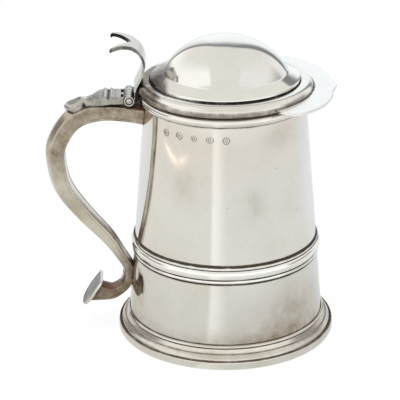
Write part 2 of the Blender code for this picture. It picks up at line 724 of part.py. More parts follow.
def build_hinge_plate(parent):
    """Plate under the hinge on the handle's back, with cross reeds, a neck and an oval drop."""
    rings = []
    flat_top = HINGE_Z + PLATE_RISE
    block_end = PLATE_BLOCK_START + PLATE_BLOCK_LENGTH
    for along, crown, normal, half in back_line():
        reach = plate_half_width(along)
        top = plate_height(along, flat_top - crown.z - SOLDER_GAP)
        follow = ease(along, block_end, PLATE_NECK)
        upper = []
        lower = []
        for share in (-1.0, -0.8, -0.4, 0.0, 0.4, 0.8, 1.0):
            across = share * reach
            bend = min(abs(across) / (half - HANDLE_EDGE), 1.0) ** 2 * HANDLE_CROWN * follow
            past = max(abs(share) - PLATE_ROUND_START, 0.0) / (1 - PLATE_ROUND_START)
            round_off = (PLATE_EDGE_ROUND + PLATE_ROUND_START * follow * top) * past
            base = crown + normal * (SOLDER_GAP - bend) + Vector((0.0, across, 0.0))
            lower.append(base)
            upper.append(base + normal * (top - round_off))
        rings.append(upper + lower[::-1])
    rings[0] = [Vector((PLATE_END_X, point.y, point.z)) for point in rings[0]]
    plate = piece("hinge_plate", lofted(rings), (0.68, 0.66, 0.62), 0.25, parent)
    for index in (1, 3):
        cut_notch(plate, index, parent)


def cut_notch(plate, index, parent):
    """Cut a notch in the hinge plate's end beside one of the lid's knuckles."""
    half = KNUCKLE_WIDTH / 2 + RUNNING_GAP
    middle = knuckle_middle(index)
    low = HINGE_Z - 2 * KNUCKLE_RADIUS
    corners = ((PLATE_NOTCH, -half), (PLATE_NOTCH, half), (-PLATE_NOTCH, half), (-PLATE_NOTCH, -half))
    outline = [Vector((PLATE_END_X + x, middle + y, low)) for x, y in corners]
    bm = extruded(outline, Vector((0.0, 0.0, 4 * KNUCKLE_RADIUS)))
    cutter = piece(f"notch_cutter_{index}", bm, (0.5, 0.5, 0.5), 0.5, parent)
    cutter.hide_render = True
    cutter.display_type = "WIRE"
    cut = plate.modifiers.new(f"notch_{index}", "BOOLEAN")
    cut.operation = "DIFFERENCE"
    cut.solver = "EXACT"
    cut.object = cutter


def centre_on_origin(root):
    """Move the whole tankard along X so that the origin is under the middle of its length."""
    bpy.context.view_layer.update()
    depsgraph = bpy.context.evaluated_depsgraph_get()
    reach = []
    for item in bpy.data.objects:
        if item.type == "MESH" and not item.hide_render:
            evaluated = item.evaluated_get(depsgraph)
            reach += [(evaluated.matrix_world @ vert.co).x for vert in evaluated.data.vertices]
    root.location.x = -(min(reach) + max(reach)) / 2
    print("drum axis at x", round(root.location.x, 6))
    print("hinge axis at x", round(root.location.x + HINGE_X, 6), "z", round(HINGE_Z, 6))


def main():
    """Build every piece of the tankard."""
    clear_scene()
    root = empty("tankard", Vector(), None)
    build_drum(root)
    build_base(root)
    build_foot(root)
    build_girdle(root)
    build_lip(root)
    build_handle(root)
    build_terminal(root)
    build_hinge_plate(root)
    hinge = Vector((HINGE_X, 0.0, HINGE_Z))
    for name, index in (("near", 0), ("middle", 2), ("far", 4)):
        build_knuckle(f"handle_knuckle_{name}", index, root, hinge)
    build_pin(root)
    lid = empty("lid_hinge_axis", hinge, root)
    build_lid_dome(lid, hinge)
    build_lid_rim(lid, hinge)
    build_bezel(lid, hinge)
    build_peak(lid, hinge)
    build_leaf(lid, hinge)
    for name, index in (("near", 1), ("far", 3)):
        build_knuckle(f"lid_knuckle_{name}", index, lid, Vector())
    build_thumbpiece(lid, hinge)
    centre_on_origin(root)


main()
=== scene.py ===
"""Looks of a lidded silver tankard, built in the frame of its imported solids.

Sizes are in metres. Heights are above the plane that the foot stands on, radii are from the drum's
axis, and the handle points to -X. Each sub-assembly is a class that builds and dresses its pieces.
"""

import logging
from collections.abc import Callable, Sequence
from dataclasses import dataclass
from enum import Enum
from functools import cached_property
from math import asin, atan, ceil, cos, degrees, exp, hypot, pi, radians, sin, sqrt, tan

import bmesh
import bpy
import numpy as np
from mathutils import Matrix, Vector
from mathutils.bvhtree import BVHTree

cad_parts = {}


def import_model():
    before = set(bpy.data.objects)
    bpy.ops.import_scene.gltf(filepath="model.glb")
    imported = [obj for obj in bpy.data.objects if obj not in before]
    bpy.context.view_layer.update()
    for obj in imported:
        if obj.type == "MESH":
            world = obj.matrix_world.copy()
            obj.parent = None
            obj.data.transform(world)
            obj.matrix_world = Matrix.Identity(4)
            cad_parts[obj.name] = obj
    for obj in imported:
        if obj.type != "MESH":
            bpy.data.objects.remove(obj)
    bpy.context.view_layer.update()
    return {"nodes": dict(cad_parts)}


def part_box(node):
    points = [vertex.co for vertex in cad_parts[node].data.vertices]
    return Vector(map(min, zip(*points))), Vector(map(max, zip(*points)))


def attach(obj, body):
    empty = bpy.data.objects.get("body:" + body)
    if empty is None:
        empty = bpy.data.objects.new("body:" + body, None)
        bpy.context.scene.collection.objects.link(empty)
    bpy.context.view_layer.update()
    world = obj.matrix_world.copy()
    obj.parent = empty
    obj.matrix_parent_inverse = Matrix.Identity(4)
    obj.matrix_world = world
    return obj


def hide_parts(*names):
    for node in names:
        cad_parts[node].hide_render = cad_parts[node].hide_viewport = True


LOG = logging.getLogger("tankard")

Point = tuple[float, float]
Colour = tuple[float, float, float]
Values = np.ndarray
Socket = bpy.types.NodeSocket
Tree = bpy.types.NodeTree
Material = bpy.types.Material
Object = bpy.types.Object
Mesh = bmesh.types.BMesh
Outputs = bpy.types.NodeOutputs

OBJECT_TURN = radians(-2.0)
DEGREE = 180.0 / pi
SHARP = radians(40)
SAME_PLACE = 1e-7
SOCKETS = {int: "Int", float: "Float", tuple: "Vector", Material: "Material"}


@dataclass(frozen=True)
class Surface:
    """Places of a piece's corners about the drum's axis, and the way that each faces."""

    x: Values
    y: Values
    z: Values
    out_x: Values
    out_y: Values
    out_z: Values


# Share at each corner of a piece, of stains and wear, of painted light and shade, or of both.
WearAndShade = Callable[[Surface], Values]


class Body(Enum):
    """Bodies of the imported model."""

    VESSEL = "vessel"
    LID = "lid"


class Slot(Enum):
    """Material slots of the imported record."""

    BODY = "body_silver"
    LID = "lid_silver"
    HANDLE = "handle_silver"
    HINGE = "hinge_silver"


class Graph:
    """Short way to add and join the nodes of a tree."""

    def __init__(self, tree: Tree) -> None:
        """Keep the tree that is built."""
        self.tree = tree

    def feed(self, socket: Socket, value: object) -> None:
        """Link a socket to another one, or set its value.

        Args:
            socket: Socket that is fed.
            value: Another socket or a plain value, for a colour red, green and blue.
        """
        if isinstance(value, Socket):
            self.tree.links.new(value, socket)
        else:
            socket.default_value = (*value, 1.0) if socket.type == "RGBA" else value

    def node(self, kind: str, inputs: dict | None = None, **settings: object) -> bpy.types.Node:
        """Add a node.

        Args:
            kind: Blender's name of the node type.
            inputs: Value or socket for each input, by name or index.
            settings: Properties of the node itself.

        Returns:
            The new node.
        """
        made = self.tree.nodes.new(kind)
        for key, value in settings.items():
            setattr(made, key, value)
        for key, value in (inputs or {}).items():
            self.feed(made.inputs[key], value)
        return made

    def math(self, operation: str, a: object, b: object = 0.0, c: object = 0.0) -> Socket:
        """Result of a math node on up to three values."""
        return self.node("ShaderNodeMath", {0: a, 1: b, 2: c}, operation=operation).outputs[0]

    def times(self, a: object, b: object) -> Socket:
        """Product of two values."""
        return self.math("MULTIPLY", a, b)

    def scaled(self, value: object, factor: object, shift: object) -> Socket:
        """Value times a factor, plus a shift."""
        return self.math("MULTIPLY_ADD", value, factor, shift)

    def xyz(self, x: object, y: object, z: object) -> Socket:
        """Vector of three values."""
        return self.node("ShaderNodeCombineXYZ", {0: x, 1: y, 2: z}).outputs[0]

    def parts(self, vector: object) -> Outputs:
        """The three values of a vector."""
        return self.node("ShaderNodeSeparateXYZ", {0: vector}).outputs

    def attribute(self, label: str) -> Socket:
        """Value that a piece's mesh carries."""
        return self.node("ShaderNodeAttribute", attribute_name=label).outputs["Fac"]

    def grey(self, value: object) -> Socket:
        """Colour with one value in all its channels."""
        return self.node("ShaderNodeCombineColor", {0: value, 1: value, 2: value}).outputs[0]

    def ramp(
        self, value: object, low: float, high: float, start: float = 0.0, end: float = 1.0
    ) -> Socket:
        """Smooth step of a value from start at low to end at high."""
        inputs = {"Value": value, "From Min": low, "From Max": high, "To Min": start, "To Max": end}
        return self.node("ShaderNodeMapRange", inputs, interpolation_type="SMOOTHSTEP").outputs["Result"]

    def mix(self, factor: object, first: object, second: object, blend: str = "MIX") -> Socket:
        """Mix of two colours, each a socket or plain red, green and blue."""
        inputs = {0: factor, 6: first, 7: second}
        return self.node("ShaderNodeMix", inputs, data_type="RGBA", blend_type=blend).outputs[2]

    def noise(self, vector: object, size: float, detail: float = 2.0, rough: float = 0.5) -> Socket:
        """Noise whose lumps are about one size across."""
        inputs = {"Vector": vector, "Scale": 1.0 / size, "Detail": detail, "Roughness": rough}
        return self.node("ShaderNodeTexNoise", inputs).outputs["Fac"]


@dataclass(frozen=True)
class Silver:
    """Finish of one silver part: its clean colour, its stains, its wear, the shade painted into it, and
    its tool marks.
    """

    colour: Colour
    roughness: float
    stain: Colour = (0.66, 0.62, 0.53)
    cloud_size: float = 0.030
    cloud_depth: float = 0.35
    tarnish: Colour = (0.130, 0.098, 0.068)
    smoke: Colour = (0.33, 0.25, 0.17)
    dirt_and_shade_range: Point = (0.15, 0.72)
    dent_size: float = 0.020
    dent_height: float = 0.00003
    ring_height: float = 0.0
    scratch: float = 0.10
    cool: Colour | None = None
    cool_heights: Point = (0.132, 0.092)

    def material(self, name: str) -> Material:
        """Build the node material of this finish.

        Args:
            name: Name of the material.

        Returns:
            The new material.
        """
        made = bpy.data.materials.new(name)
        made.use_nodes = True
        graph = Graph(made.node_tree)
        shader = made.node_tree.nodes["Principled BSDF"]
        place = graph.node("ShaderNodeTexCoord").outputs["Object"]
        clouds = self.clouds(graph, place)
        dirt_and_shade = self.dirt_and_shade(graph, place)
        marks = self.scratches(graph, place)
        haze_and_shade = self.haze_and_shade(graph, place)
        clean = graph.mix(clouds, self.tone(graph, place), self.stain)
        # Brown smoke, and on several pieces painted shade, over the clean colour.
        smoked_and_shaded = graph.mix(haze_and_shade, clean, self.smoke)
        scored = graph.mix(graph.times(marks, self.scratch), smoked_and_shaded, self.stain)
        # Dark tarnish, and on several pieces painted shade, over all of it.
        graph.feed(shader.inputs["Base Color"], graph.mix(dirt_and_shade, scored, self.tarnish))
        graph.feed(shader.inputs["Metallic"], graph.scaled(dirt_and_shade, -0.85, 1.0))
        graph.feed(shader.inputs["Specular IOR Level"], graph.scaled(dirt_and_shade, -0.40, 0.5))
        worn = graph.scaled(clouds, 0.10, self.roughness)
        hazed = graph.scaled(haze_and_shade, 0.10, worn)
        matt = graph.scaled(dirt_and_shade, 0.30, hazed)
        graph.feed(shader.inputs["Roughness"], graph.scaled(marks, 0.06, matt))
        graph.feed(shader.inputs["Normal"], self.relief(graph, place, marks))
        return made

    def tone(self, graph: Graph, place: Socket) -> object:
        """Clean colour, which turns cooler from one height down to another where the finish says so.

        Args:
            graph: Graph that is added to.
            place: Object coordinates.

        Returns:
            Socket or plain colour.
        """
        if self.cool is None:
            return self.colour
        drift = graph.scaled(graph.noise(place, 0.035, 2.0), 0.06, -0.03)
        share = graph.ramp(graph.math("ADD", graph.parts(place)[2], drift), *self.cool_heights)
        return graph.mix(share, self.colour, self.cool)

    def clouds(self, graph: Graph, place: Socket) -> Socket:
        """Share of stain in the broad clouds and the fine mottle of the surface.

        Args:
            graph: Graph that is added to.
            place: Object coordinates.

        Returns:
            The share.
        """
        broad = graph.ramp(graph.noise(place, self.cloud_size, 5.0, 0.62), 0.40, 0.72)
        fine = graph.ramp(graph.noise(place, 0.0035, 3.0, 0.6), 0.42, 0.75)
        return graph.times(graph.scaled(fine, 0.28, broad), self.cloud_depth)

    def dirt_and_shade(self, graph: Graph, place: Socket) -> Socket:
        """Share of dark tarnish and painted shade: closed-in places and each piece's marked darkening,
        broken up, and a few specks.

        Args:
            graph: Graph that is added to.
            place: Object coordinates.

        Returns:
            The share.
        """
        uneven = graph.scaled(graph.noise(place, 0.009, 4.0, 0.65), 1.3, 0.35)
        line = graph.ramp(graph.times(graph.attribute("tarnish"), uneven), *self.dirt_and_shade_range)
        spots = graph.node("ShaderNodeTexVoronoi", {"Vector": place, "Scale": 260.0})
        chance = graph.node("ShaderNodeSeparateColor", {0: spots.outputs["Color"]}).outputs[0]
        chosen = graph.ramp(chance, 0.95, 0.97)
        speck = graph.times(graph.ramp(spots.outputs["Distance"], 0.16, 0.06), chosen)
        return graph.math("MAXIMUM", line, graph.times(speck, 0.35))

    def haze_and_shade(self, graph: Graph, place: Socket) -> Socket:
        """Share of brown smoke and painted shade, where the piece carries it."""
        uneven = graph.scaled(graph.noise(place, 0.007, 5.0, 0.68), 2.2, -0.1)
        return graph.math("MINIMUM", graph.times(graph.attribute("smoke"), uneven), 1.0)

    def scratches(self, graph: Graph, place: Socket) -> Socket:
        """Thin wandering lines left by cleaning and use.

        Args:
            graph: Graph that is added to.
            place: Object coordinates.

        Returns:
            The share.
        """
        total: object = 0.0
        for turn, size in ((0.4, 0.030), (1.3, 0.022), (2.4, 0.040)):
            spin = (0.3 * turn, turn, 1.7 * turn)
            inputs = {"Vector": place, "Rotation": spin, "Scale": (1.0, 0.35, 1.0)}
            laid = graph.node("ShaderNodeMapping", inputs).outputs["Vector"]
            wander = graph.math("SUBTRACT", graph.noise(laid, size, 1.0, 0.4), 0.5)
            line = graph.ramp(graph.math("ABSOLUTE", wander), 0.0035, 0.0012)
            broken = graph.times(line, graph.ramp(graph.noise(laid, 0.018), 0.50, 0.62))
            total = graph.math("MAXIMUM", broken, total)
        return total

    def relief(self, graph: Graph, place: Socket, marks: Socket) -> Socket:
        """Normal bent by planishing dents, fine grain, turning rings and scratches.

        Args:
            graph: Graph that is added to.
            place: Object coordinates.
            marks: Share of scratches.

        Returns:
            The normal.
        """
        dents = graph.times(graph.noise(place, self.dent_size, 1.5, 0.5), self.dent_height)
        grain = graph.scaled(graph.noise(place, 0.0012, 2.0, 0.5), 1.5e-6, dents)
        cut = graph.scaled(marks, -3e-6, grain)
        if self.ring_height > 0.0:
            inputs = {"Vector": place, "Scale": (2.0, 2.0, 900.0)}
            squeezed = graph.node("ShaderNodeMapping", inputs)
            rings = graph.noise(squeezed.outputs["Vector"], 1.0, 2.0, 0.6)
            cut = graph.scaled(rings, self.ring_height, cut)
        inputs = {"Height": cut, "Distance": 1.0, "Strength": 1.0}
        return graph.node("ShaderNodeBump", inputs).outputs["Normal"]


class Finish(Enum):
    """The silver of each part of the tankard; the thumbpiece, hinge and plate take darker copies of it
    as painted shade.
    """

    WALL = Silver(
        colour=(0.825, 0.785, 0.735), roughness=0.05, cloud_depth=0.34, ring_height=1.0e-6,
        cool=(0.815, 0.805, 0.770),
    )
    RUBBED = Silver(
        colour=(0.95, 0.945, 0.92), stain=(0.78, 0.76, 0.70), roughness=0.10, cloud_depth=0.30,
        dent_height=1e-5, dirt_and_shade_range=(0.28, 0.9), tarnish=(0.080, 0.060, 0.042),
    )
    LIP = Silver(
        colour=(0.84, 0.825, 0.785), roughness=0.13, cloud_depth=0.40, dent_height=1e-5,
        dirt_and_shade_range=(0.25, 1.1), tarnish=(0.42, 0.345, 0.275), smoke=(0.24, 0.195, 0.150),
    )
    MOULDING = Silver(
        colour=(0.82, 0.80, 0.755), roughness=0.15, cloud_depth=0.50, dent_height=1e-5,
    )
    # Its near-black tarnish colour also paints the shadow line round the skirt.
    POLISHED = Silver(
        colour=(0.88, 0.87, 0.835), stain=(0.74, 0.72, 0.67), roughness=0.07, cloud_depth=0.30,
        dirt_and_shade_range=(0.30, 1.0), tarnish=(0.022, 0.019, 0.016), smoke=(0.22, 0.195, 0.175),
    )
    # Its dark tarnish colour also paints the skirt's shadow line and the shade over the gap above the
    # lip.
    RIM = Silver(
        colour=(0.87, 0.855, 0.815), roughness=0.13, cloud_depth=0.40, dent_height=1e-5,
        dirt_and_shade_range=(0.42, 1.05), tarnish=(0.050, 0.042, 0.034), smoke=(0.185, 0.146, 0.115),
    )
    # Darker copy of the silver as painted shade; its near-black tarnish colour paints the shadow on the
    # fork's inner edges.
    THUMB = Silver(
        colour=(0.62, 0.60, 0.56), stain=(0.52, 0.50, 0.46), roughness=0.16, cloud_size=0.008,
        cloud_depth=0.35, smoke=(0.11, 0.102, 0.090), tarnish=(0.022, 0.019, 0.015),
    )
    # Its tarnish colour paints the shade on the punched rings.
    PUNCH = Silver(
        colour=(0.80, 0.78, 0.73), roughness=0.16, tarnish=(0.060, 0.050, 0.040),
    )
    PALE = Silver(
        colour=(0.90, 0.885, 0.87), stain=(0.82, 0.80, 0.77), roughness=0.22, cloud_depth=0.3,
    )
    HANDLE = Silver(
        colour=(0.74, 0.70, 0.605), stain=(0.46, 0.375, 0.25), roughness=0.18, cloud_size=0.016,
        cloud_depth=0.45, smoke=(0.235, 0.178, 0.125), dirt_and_shade_range=(0.32, 1.1),
        tarnish=(0.150, 0.070, 0.044),
    )
    SHIELD = Silver(
        colour=(0.74, 0.73, 0.70), stain=(0.60, 0.58, 0.53), roughness=0.20,
        smoke=(0.225, 0.215, 0.195),
    )
    # Darker copy of the silver as painted shade; its near-black tarnish colour paints the leaf's shadow.
    HINGE = Silver(
        colour=(0.54, 0.525, 0.49), stain=(0.36, 0.33, 0.28), roughness=0.18, cloud_size=0.008,
        cloud_depth=0.5, tarnish=(0.030, 0.026, 0.022),
    )
    # Darker copy of the silver as painted shade; its tarnish colour also paints the shade in the notches
    # and under the sides.
    PLATE = Silver(
        colour=(0.63, 0.62, 0.59), stain=(0.42, 0.39, 0.33), roughness=0.20, cloud_size=0.006,
        cloud_depth=0.5, smoke=(0.22, 0.205, 0.18), tarnish=(0.080, 0.075, 0.068),
    )

    @cached_property
    def material(self) -> Material:
        """Material of this finish, made when it is first asked for."""
        return self.value.material(f"{self.name.lower()}_silver")


def arc(centre: Point, reach: Point, start: float, end: float, steps: int) -> list[Point]:
    """Points of an elliptic arc.

    Args:
        centre: Middle of the ellipse.
        reach: Its half axes.
        start: First angle in degrees from the +R direction.
        end: Last angle in degrees.
        steps: Number of stretches.

    Returns:
        Points from start to end.
    """
    angles = [radians(start + (end - start) * step / steps) for step in range(steps + 1)]
    return [(centre[0] + reach[0] * cos(a), centre[1] + reach[1] * sin(a)) for a in angles]


def divided(outline: Sequence[Point], longest: float) -> list[Point]:
    """Outline whose long stretches are divided into shorter ones.

    Args:
        outline: Points of the outline.
        longest: Longest stretch that is left.

    Returns:
        The points.
    """
    points: list[Point] = []
    for (r0, z0), (r1, z1) in zip(outline, outline[1:]):
        parts = max(1, ceil(hypot(r1 - r0, z1 - z0) / longest))
        points += [(r0 + (r1 - r0) * k / parts, z0 + (z1 - z0) * k / parts) for k in range(parts)]
    points.append(outline[-1])
    return points


def smooth_row(rows: Sequence[Sequence[float]], place: float) -> list[float]:
    """Values of a smooth curve through rows of numbers, place counting rows from 0.

    Args:
        rows: Rows of numbers.
        place: Place among the rows.

    Returns:
        One value for each column.
    """
    last = len(rows) - 1
    index = min(int(place), last - 1)
    t = place - index
    around = (rows[max(index - 1, 0)], rows[index], rows[index + 1], rows[min(index + 2, last)])
    values = []
    for a, b, c, d in zip(*around):
        bend = 2 * a - 5 * b + 4 * c - d
        twist = 3 * (b - c) + d - a
        values.append(b + 0.5 * t * (c - a + t * (bend + t * twist)))
    return values


def ease(value: float, start: float, end: float) -> float:
    """Smooth step from 0 at start to 1 at end."""
    t = min(max((value - start) / (end - start), 0.0), 1.0)
    return t * t * (3 - 2 * t)


def climb(values: Values, start: float, reach: float) -> Values:
    """Share that grows from 0 at start to 1 a reach further on, or further down for one below 0."""
    return np.clip((values - start) / reach, 0.0, 1.0)


def bell(values: Values, middle: float, wide: float, power: int = 2) -> Values:
    """Share that is 1 in a middle and fades out on both sides."""
    return np.exp(-(((values - middle) / wide) ** power))


def front_angle(at: Surface) -> Values:
    """Bearing of each point in degrees from the front, positive to the right."""
    return np.degrees(np.arctan2(at.x, -at.y))


def no_wear(at: Surface) -> Values:
    """Nothing anywhere."""
    return np.zeros_like(at.x)


def new_object(name: str, data: bpy.types.ID) -> Object:
    """Make an object in the scene.

    Args:
        name: Its name.
        data: Its mesh, lamp or camera.

    Returns:
        The new object, at the origin.
    """
    made = bpy.data.objects.new(name, data)
    bpy.context.scene.collection.objects.link(made)
    return made


def mesh_object(name: str, bm: Mesh) -> Object:
    """Make an object of a mesh.

    Args:
        name: Its name.
        bm: Its mesh, which is used up.

    Returns:
        The new object, at the origin.
    """
    data = bpy.data.meshes.new(name)
    bm.to_mesh(data)
    bm.free()
    return new_object(name, data)


class Bench:
    """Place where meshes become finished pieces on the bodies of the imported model."""

    def __init__(self, axis_x: float) -> None:
        """Keep the drum's axis, from which every mesh is built.

        Args:
            axis_x: X of the axis.
        """
        self.axis_x = axis_x
        self.pieces: list[Object] = []
        self.wears_and_shades: dict[str, tuple[WearAndShade, WearAndShade]] = {}
        self.fits: list[tuple[Object, Body, Slot, tuple[str, ...]]] = []

    def mesh(self, name: str, bm: Mesh) -> Object:
        """Make an object of a mesh given about the drum's axis, with its faces turned outwards.

        Args:
            name: The piece's name.
            bm: Its mesh, which is used up.

        Returns:
            The new object, at the origin, with its place in its mesh.
        """
        bmesh.ops.remove_doubles(bm, verts=bm.verts, dist=SAME_PLACE)
        bmesh.ops.recalc_face_normals(bm, faces=bm.faces)
        bmesh.ops.translate(bm, verts=bm.verts, vec=(self.axis_x, 0.0, 0.0))
        return mesh_object(name, bm)

    def settle(self, made: Object, spares: Sequence[Object] = ()) -> None:
        """Apply an object's modifiers, so that a plain mesh is left.

        Args:
            made: The piece.
            spares: Helpers that are deleted then.
        """
        graph = bpy.context.evaluated_depsgraph_get()
        graph.update()
        plain = bpy.data.meshes.new_from_object(made.evaluated_get(graph))
        made.modifiers.clear()
        made.data = plain
        plain.name = made.name
        for spare in spares:
            bpy.data.objects.remove(spare, do_unlink=True)

    def finish(
        self,
        made: Object,
        finish: Finish,
        body: Body,
        slot: Slot,
        nodes: Sequence[str],
        smoke: WearAndShade = no_wear,
        grime_and_shade: WearAndShade = no_wear,
    ) -> None:
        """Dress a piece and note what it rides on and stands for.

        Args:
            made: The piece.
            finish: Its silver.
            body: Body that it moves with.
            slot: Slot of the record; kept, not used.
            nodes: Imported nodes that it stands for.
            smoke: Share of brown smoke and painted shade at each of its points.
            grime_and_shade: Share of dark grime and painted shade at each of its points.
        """
        made.data.materials.clear()
        made.data.materials.append(finish.material)
        made.data.shade_smooth()
        made.data.set_sharp_from_angle(angle=SHARP)
        self.pieces.append(made)
        self.wears_and_shades[made.name] = (smoke, grime_and_shade)
        self.fits.append((made, body, slot, tuple(nodes)))

    def make(self, pieces: Sequence[tuple], body: Body, slot: Slot) -> None:
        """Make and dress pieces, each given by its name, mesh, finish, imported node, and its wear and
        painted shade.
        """
        for name, bm, finish, node, *wear_and_shade in pieces:
            self.finish(self.mesh(name, bm), finish, body, slot, [node], *wear_and_shade)

    def mount(self) -> None:
        """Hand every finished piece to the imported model."""
        for made, body, slot, nodes in self.fits:
            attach(made, body.value)
            if nodes:
                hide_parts(*nodes)
            LOG.info("%s on %s: %d faces", made.name, body.value, len(made.data.polygons))


@dataclass(frozen=True)
class Patina:
    """Tarnish that gathers where a surface is closed in by its neighbours."""

    reach: float = 0.0034
    rays: int = 14
    lift: float = 0.00004
    full: float = 0.42
    too_thin: tuple[str, ...] = ("punch_marks",)

    @property
    def directions(self) -> Values:
        """Even directions over a half ball round +Z."""
        turn = pi * (3 - sqrt(5))
        rows = []
        for k in range(self.rays):
            height = sqrt((k + 0.5) / self.rays)
            flat = sqrt(1 - height * height)
            rows.append((flat * cos(turn * k), flat * sin(turn * k), height))
        return np.array(rows)

    def spread(self, bench: Bench) -> None:
        """Write the tarnish and the smoke of every piece, each with its painted shade, to its mesh.

        Args:
            bench: Bench with the finished pieces.
        """
        corners: list[tuple[float, float, float]] = []
        faces: list[tuple[int, ...]] = []
        for made in bench.pieces:
            if made.name in self.too_thin:
                continue
            first = len(corners)
            corners += [tuple(vert.co) for vert in made.data.vertices]
            faces += [tuple(first + i for i in face.vertices) for face in made.data.polygons]
        tree = BVHTree.FromPolygons(corners, faces)
        fan = self.directions
        for made in bench.pieces:
            points = self.read(made, "co")
            normals = self.read(made, "normal")
            smoke, grime_and_shade = bench.wears_and_shades[made.name]
            at = Surface(*(points - (bench.axis_x, 0.0, 0.0)).T, *normals.T)
            dark = np.maximum(self.closed_in(tree, fan, points, normals), grime_and_shade(at))
            for label, values in (("tarnish", dark), ("smoke", smoke(at))):
                layer = made.data.attributes.new(label, "FLOAT", "POINT")
                layer.data.foreach_set("value", np.clip(values, 0.0, 1.0).astype(np.float32))

    def read(self, made: Object, label: str) -> Values:
        """Read the place or the normal of each corner of a piece.

        Args:
            made: The piece.
            label: Which of the two, in Blender's word.

        Returns:
            One row of three numbers for each corner.
        """
        values = np.zeros(len(made.data.vertices) * 3)
        made.data.vertices.foreach_get(label, values)
        return values.reshape(-1, 3)

    def closed_in(self, tree: BVHTree, fan: Values, points: Values, normals: Values) -> Values:
        """Share of the view from each point that is closed in by something near.

        Args:
            tree: All surfaces.
            fan: Directions round +Z.
            points: Places on the surface.
            normals: Its outward directions there.

        Returns:
            A value from 0, open, to 1 for each point.
        """
        helper = np.where(np.abs(normals[:, 2:3]) < 0.9, (0.0, 0.0, 1.0), (1.0, 0.0, 0.0))
        side = np.cross(helper, normals)
        side /= np.maximum(np.linalg.norm(side, axis=1, keepdims=True), 1e-9)
        other = np.cross(normals, side)
        starts = points + normals * self.lift
        total = np.zeros(len(points))
        for x, y, z in fan:
            ways = side * x + other * y + normals * z
            for k, (start, way) in enumerate(zip(starts, ways)):
                far = tree.ray_cast(start, way, self.reach)[3]
                if far is not None:
                    total[k] += 1.0 - far / self.reach
        return np.clip(total / (self.full * len(fan)), 0.0, 1.0)


def skin(bm: Mesh, rows: Sequence[Sequence[bmesh.types.BMVert]]) -> None:
    """Join each closed row of corners to the next with faces.

    Args:
        bm: Mesh that is added to.
        rows: Closed rows of corners.
    """
    for low, high in zip(rows, rows[1:]):
        for i in range(len(low)):
            j = (i + 1) % len(low)
            bm.faces.new(list(dict.fromkeys((low[i], low[j], high[j], high[i]))))


def turned(outline: Sequence[Point], facets: int) -> Mesh:
    """Solid turned about Z.

    Args:
        outline: Points of (radius, height); both ends on the axis, or else the outline is closed.
        facets: Facets of a full turn.

    Returns:
        The closed mesh.
    """
    bm = bmesh.new()
    rings = []
    for radius, height in outline:
        if radius < SAME_PLACE:
            rings.append([bm.verts.new((0.0, 0.0, height))] * facets)
            continue
        turns = [2 * pi * k / facets for k in range(facets)]
        corners = [(radius * cos(turn), radius * sin(turn), height) for turn in turns]
        rings.append([bm.verts.new(corner) for corner in corners])
    open_ends = max(outline[0][0], outline[-1][0]) < SAME_PLACE
    skin(bm, rings if open_ends else rings + rings[:1])
    return bm


def lofted(rings: Sequence[Sequence[Vector]]) -> Mesh:
    """Closed solid through rings whose second half runs back beside the first.

    Args:
        rings: Rings of points.

    Returns:
        The closed mesh.
    """
    bm = bmesh.new()
    rows = [[bm.verts.new(point) for point in ring] for ring in rings]
    skin(bm, rows)
    count = len(rows[0])
    for row in (rows[0], rows[-1]):
        for i in range(count // 2 - 1):
            bm.faces.new((row[i], row[i + 1], row[count - 2 - i], row[count - 1 - i]))
    return bm


def extruded(outline: Sequence[Vector], direction: Vector, bm: Mesh | None = None) -> Mesh:
    """Prism of a flat closed outline, pushed along a direction.

    Args:
        outline: Corners of the outline.
        direction: Way and length of the push.
        bm: Mesh that it is added to, or a new one.

    Returns:
        The mesh.
    """
    bm = bm or bmesh.new()
    face = bm.faces.new([bm.verts.new(point) for point in outline])
    pushed = bmesh.ops.extrude_face_region(bm, geom=[face])
    moved = [item for item in pushed["geom"] if isinstance(item, bmesh.types.BMVert)]
    bmesh.ops.translate(bm, verts=moved, vec=direction)
    return bm


@dataclass(frozen=True)
class Drum:
    """Sizes of the drum that the other pieces fit to."""

    height: float = 0.1424
    bottom: float = 0.0040
    foot_height: float = 0.0121
    foot_radius: float = 0.0554
    mouth_radius: float = 0.0450
    wall: float = 0.0010
    seat_gap: float = 0.0001

    def outer(self, height: float) -> float:
        """Outer radius of the wall at a height."""
        share = (height - self.foot_height) / (self.height - self.foot_height)
        return self.foot_radius + (self.mouth_radius - self.foot_radius) * share

    @property
    def lid_seat(self) -> float:
        """Height of the flat under the lid."""
        return self.height + self.seat_gap


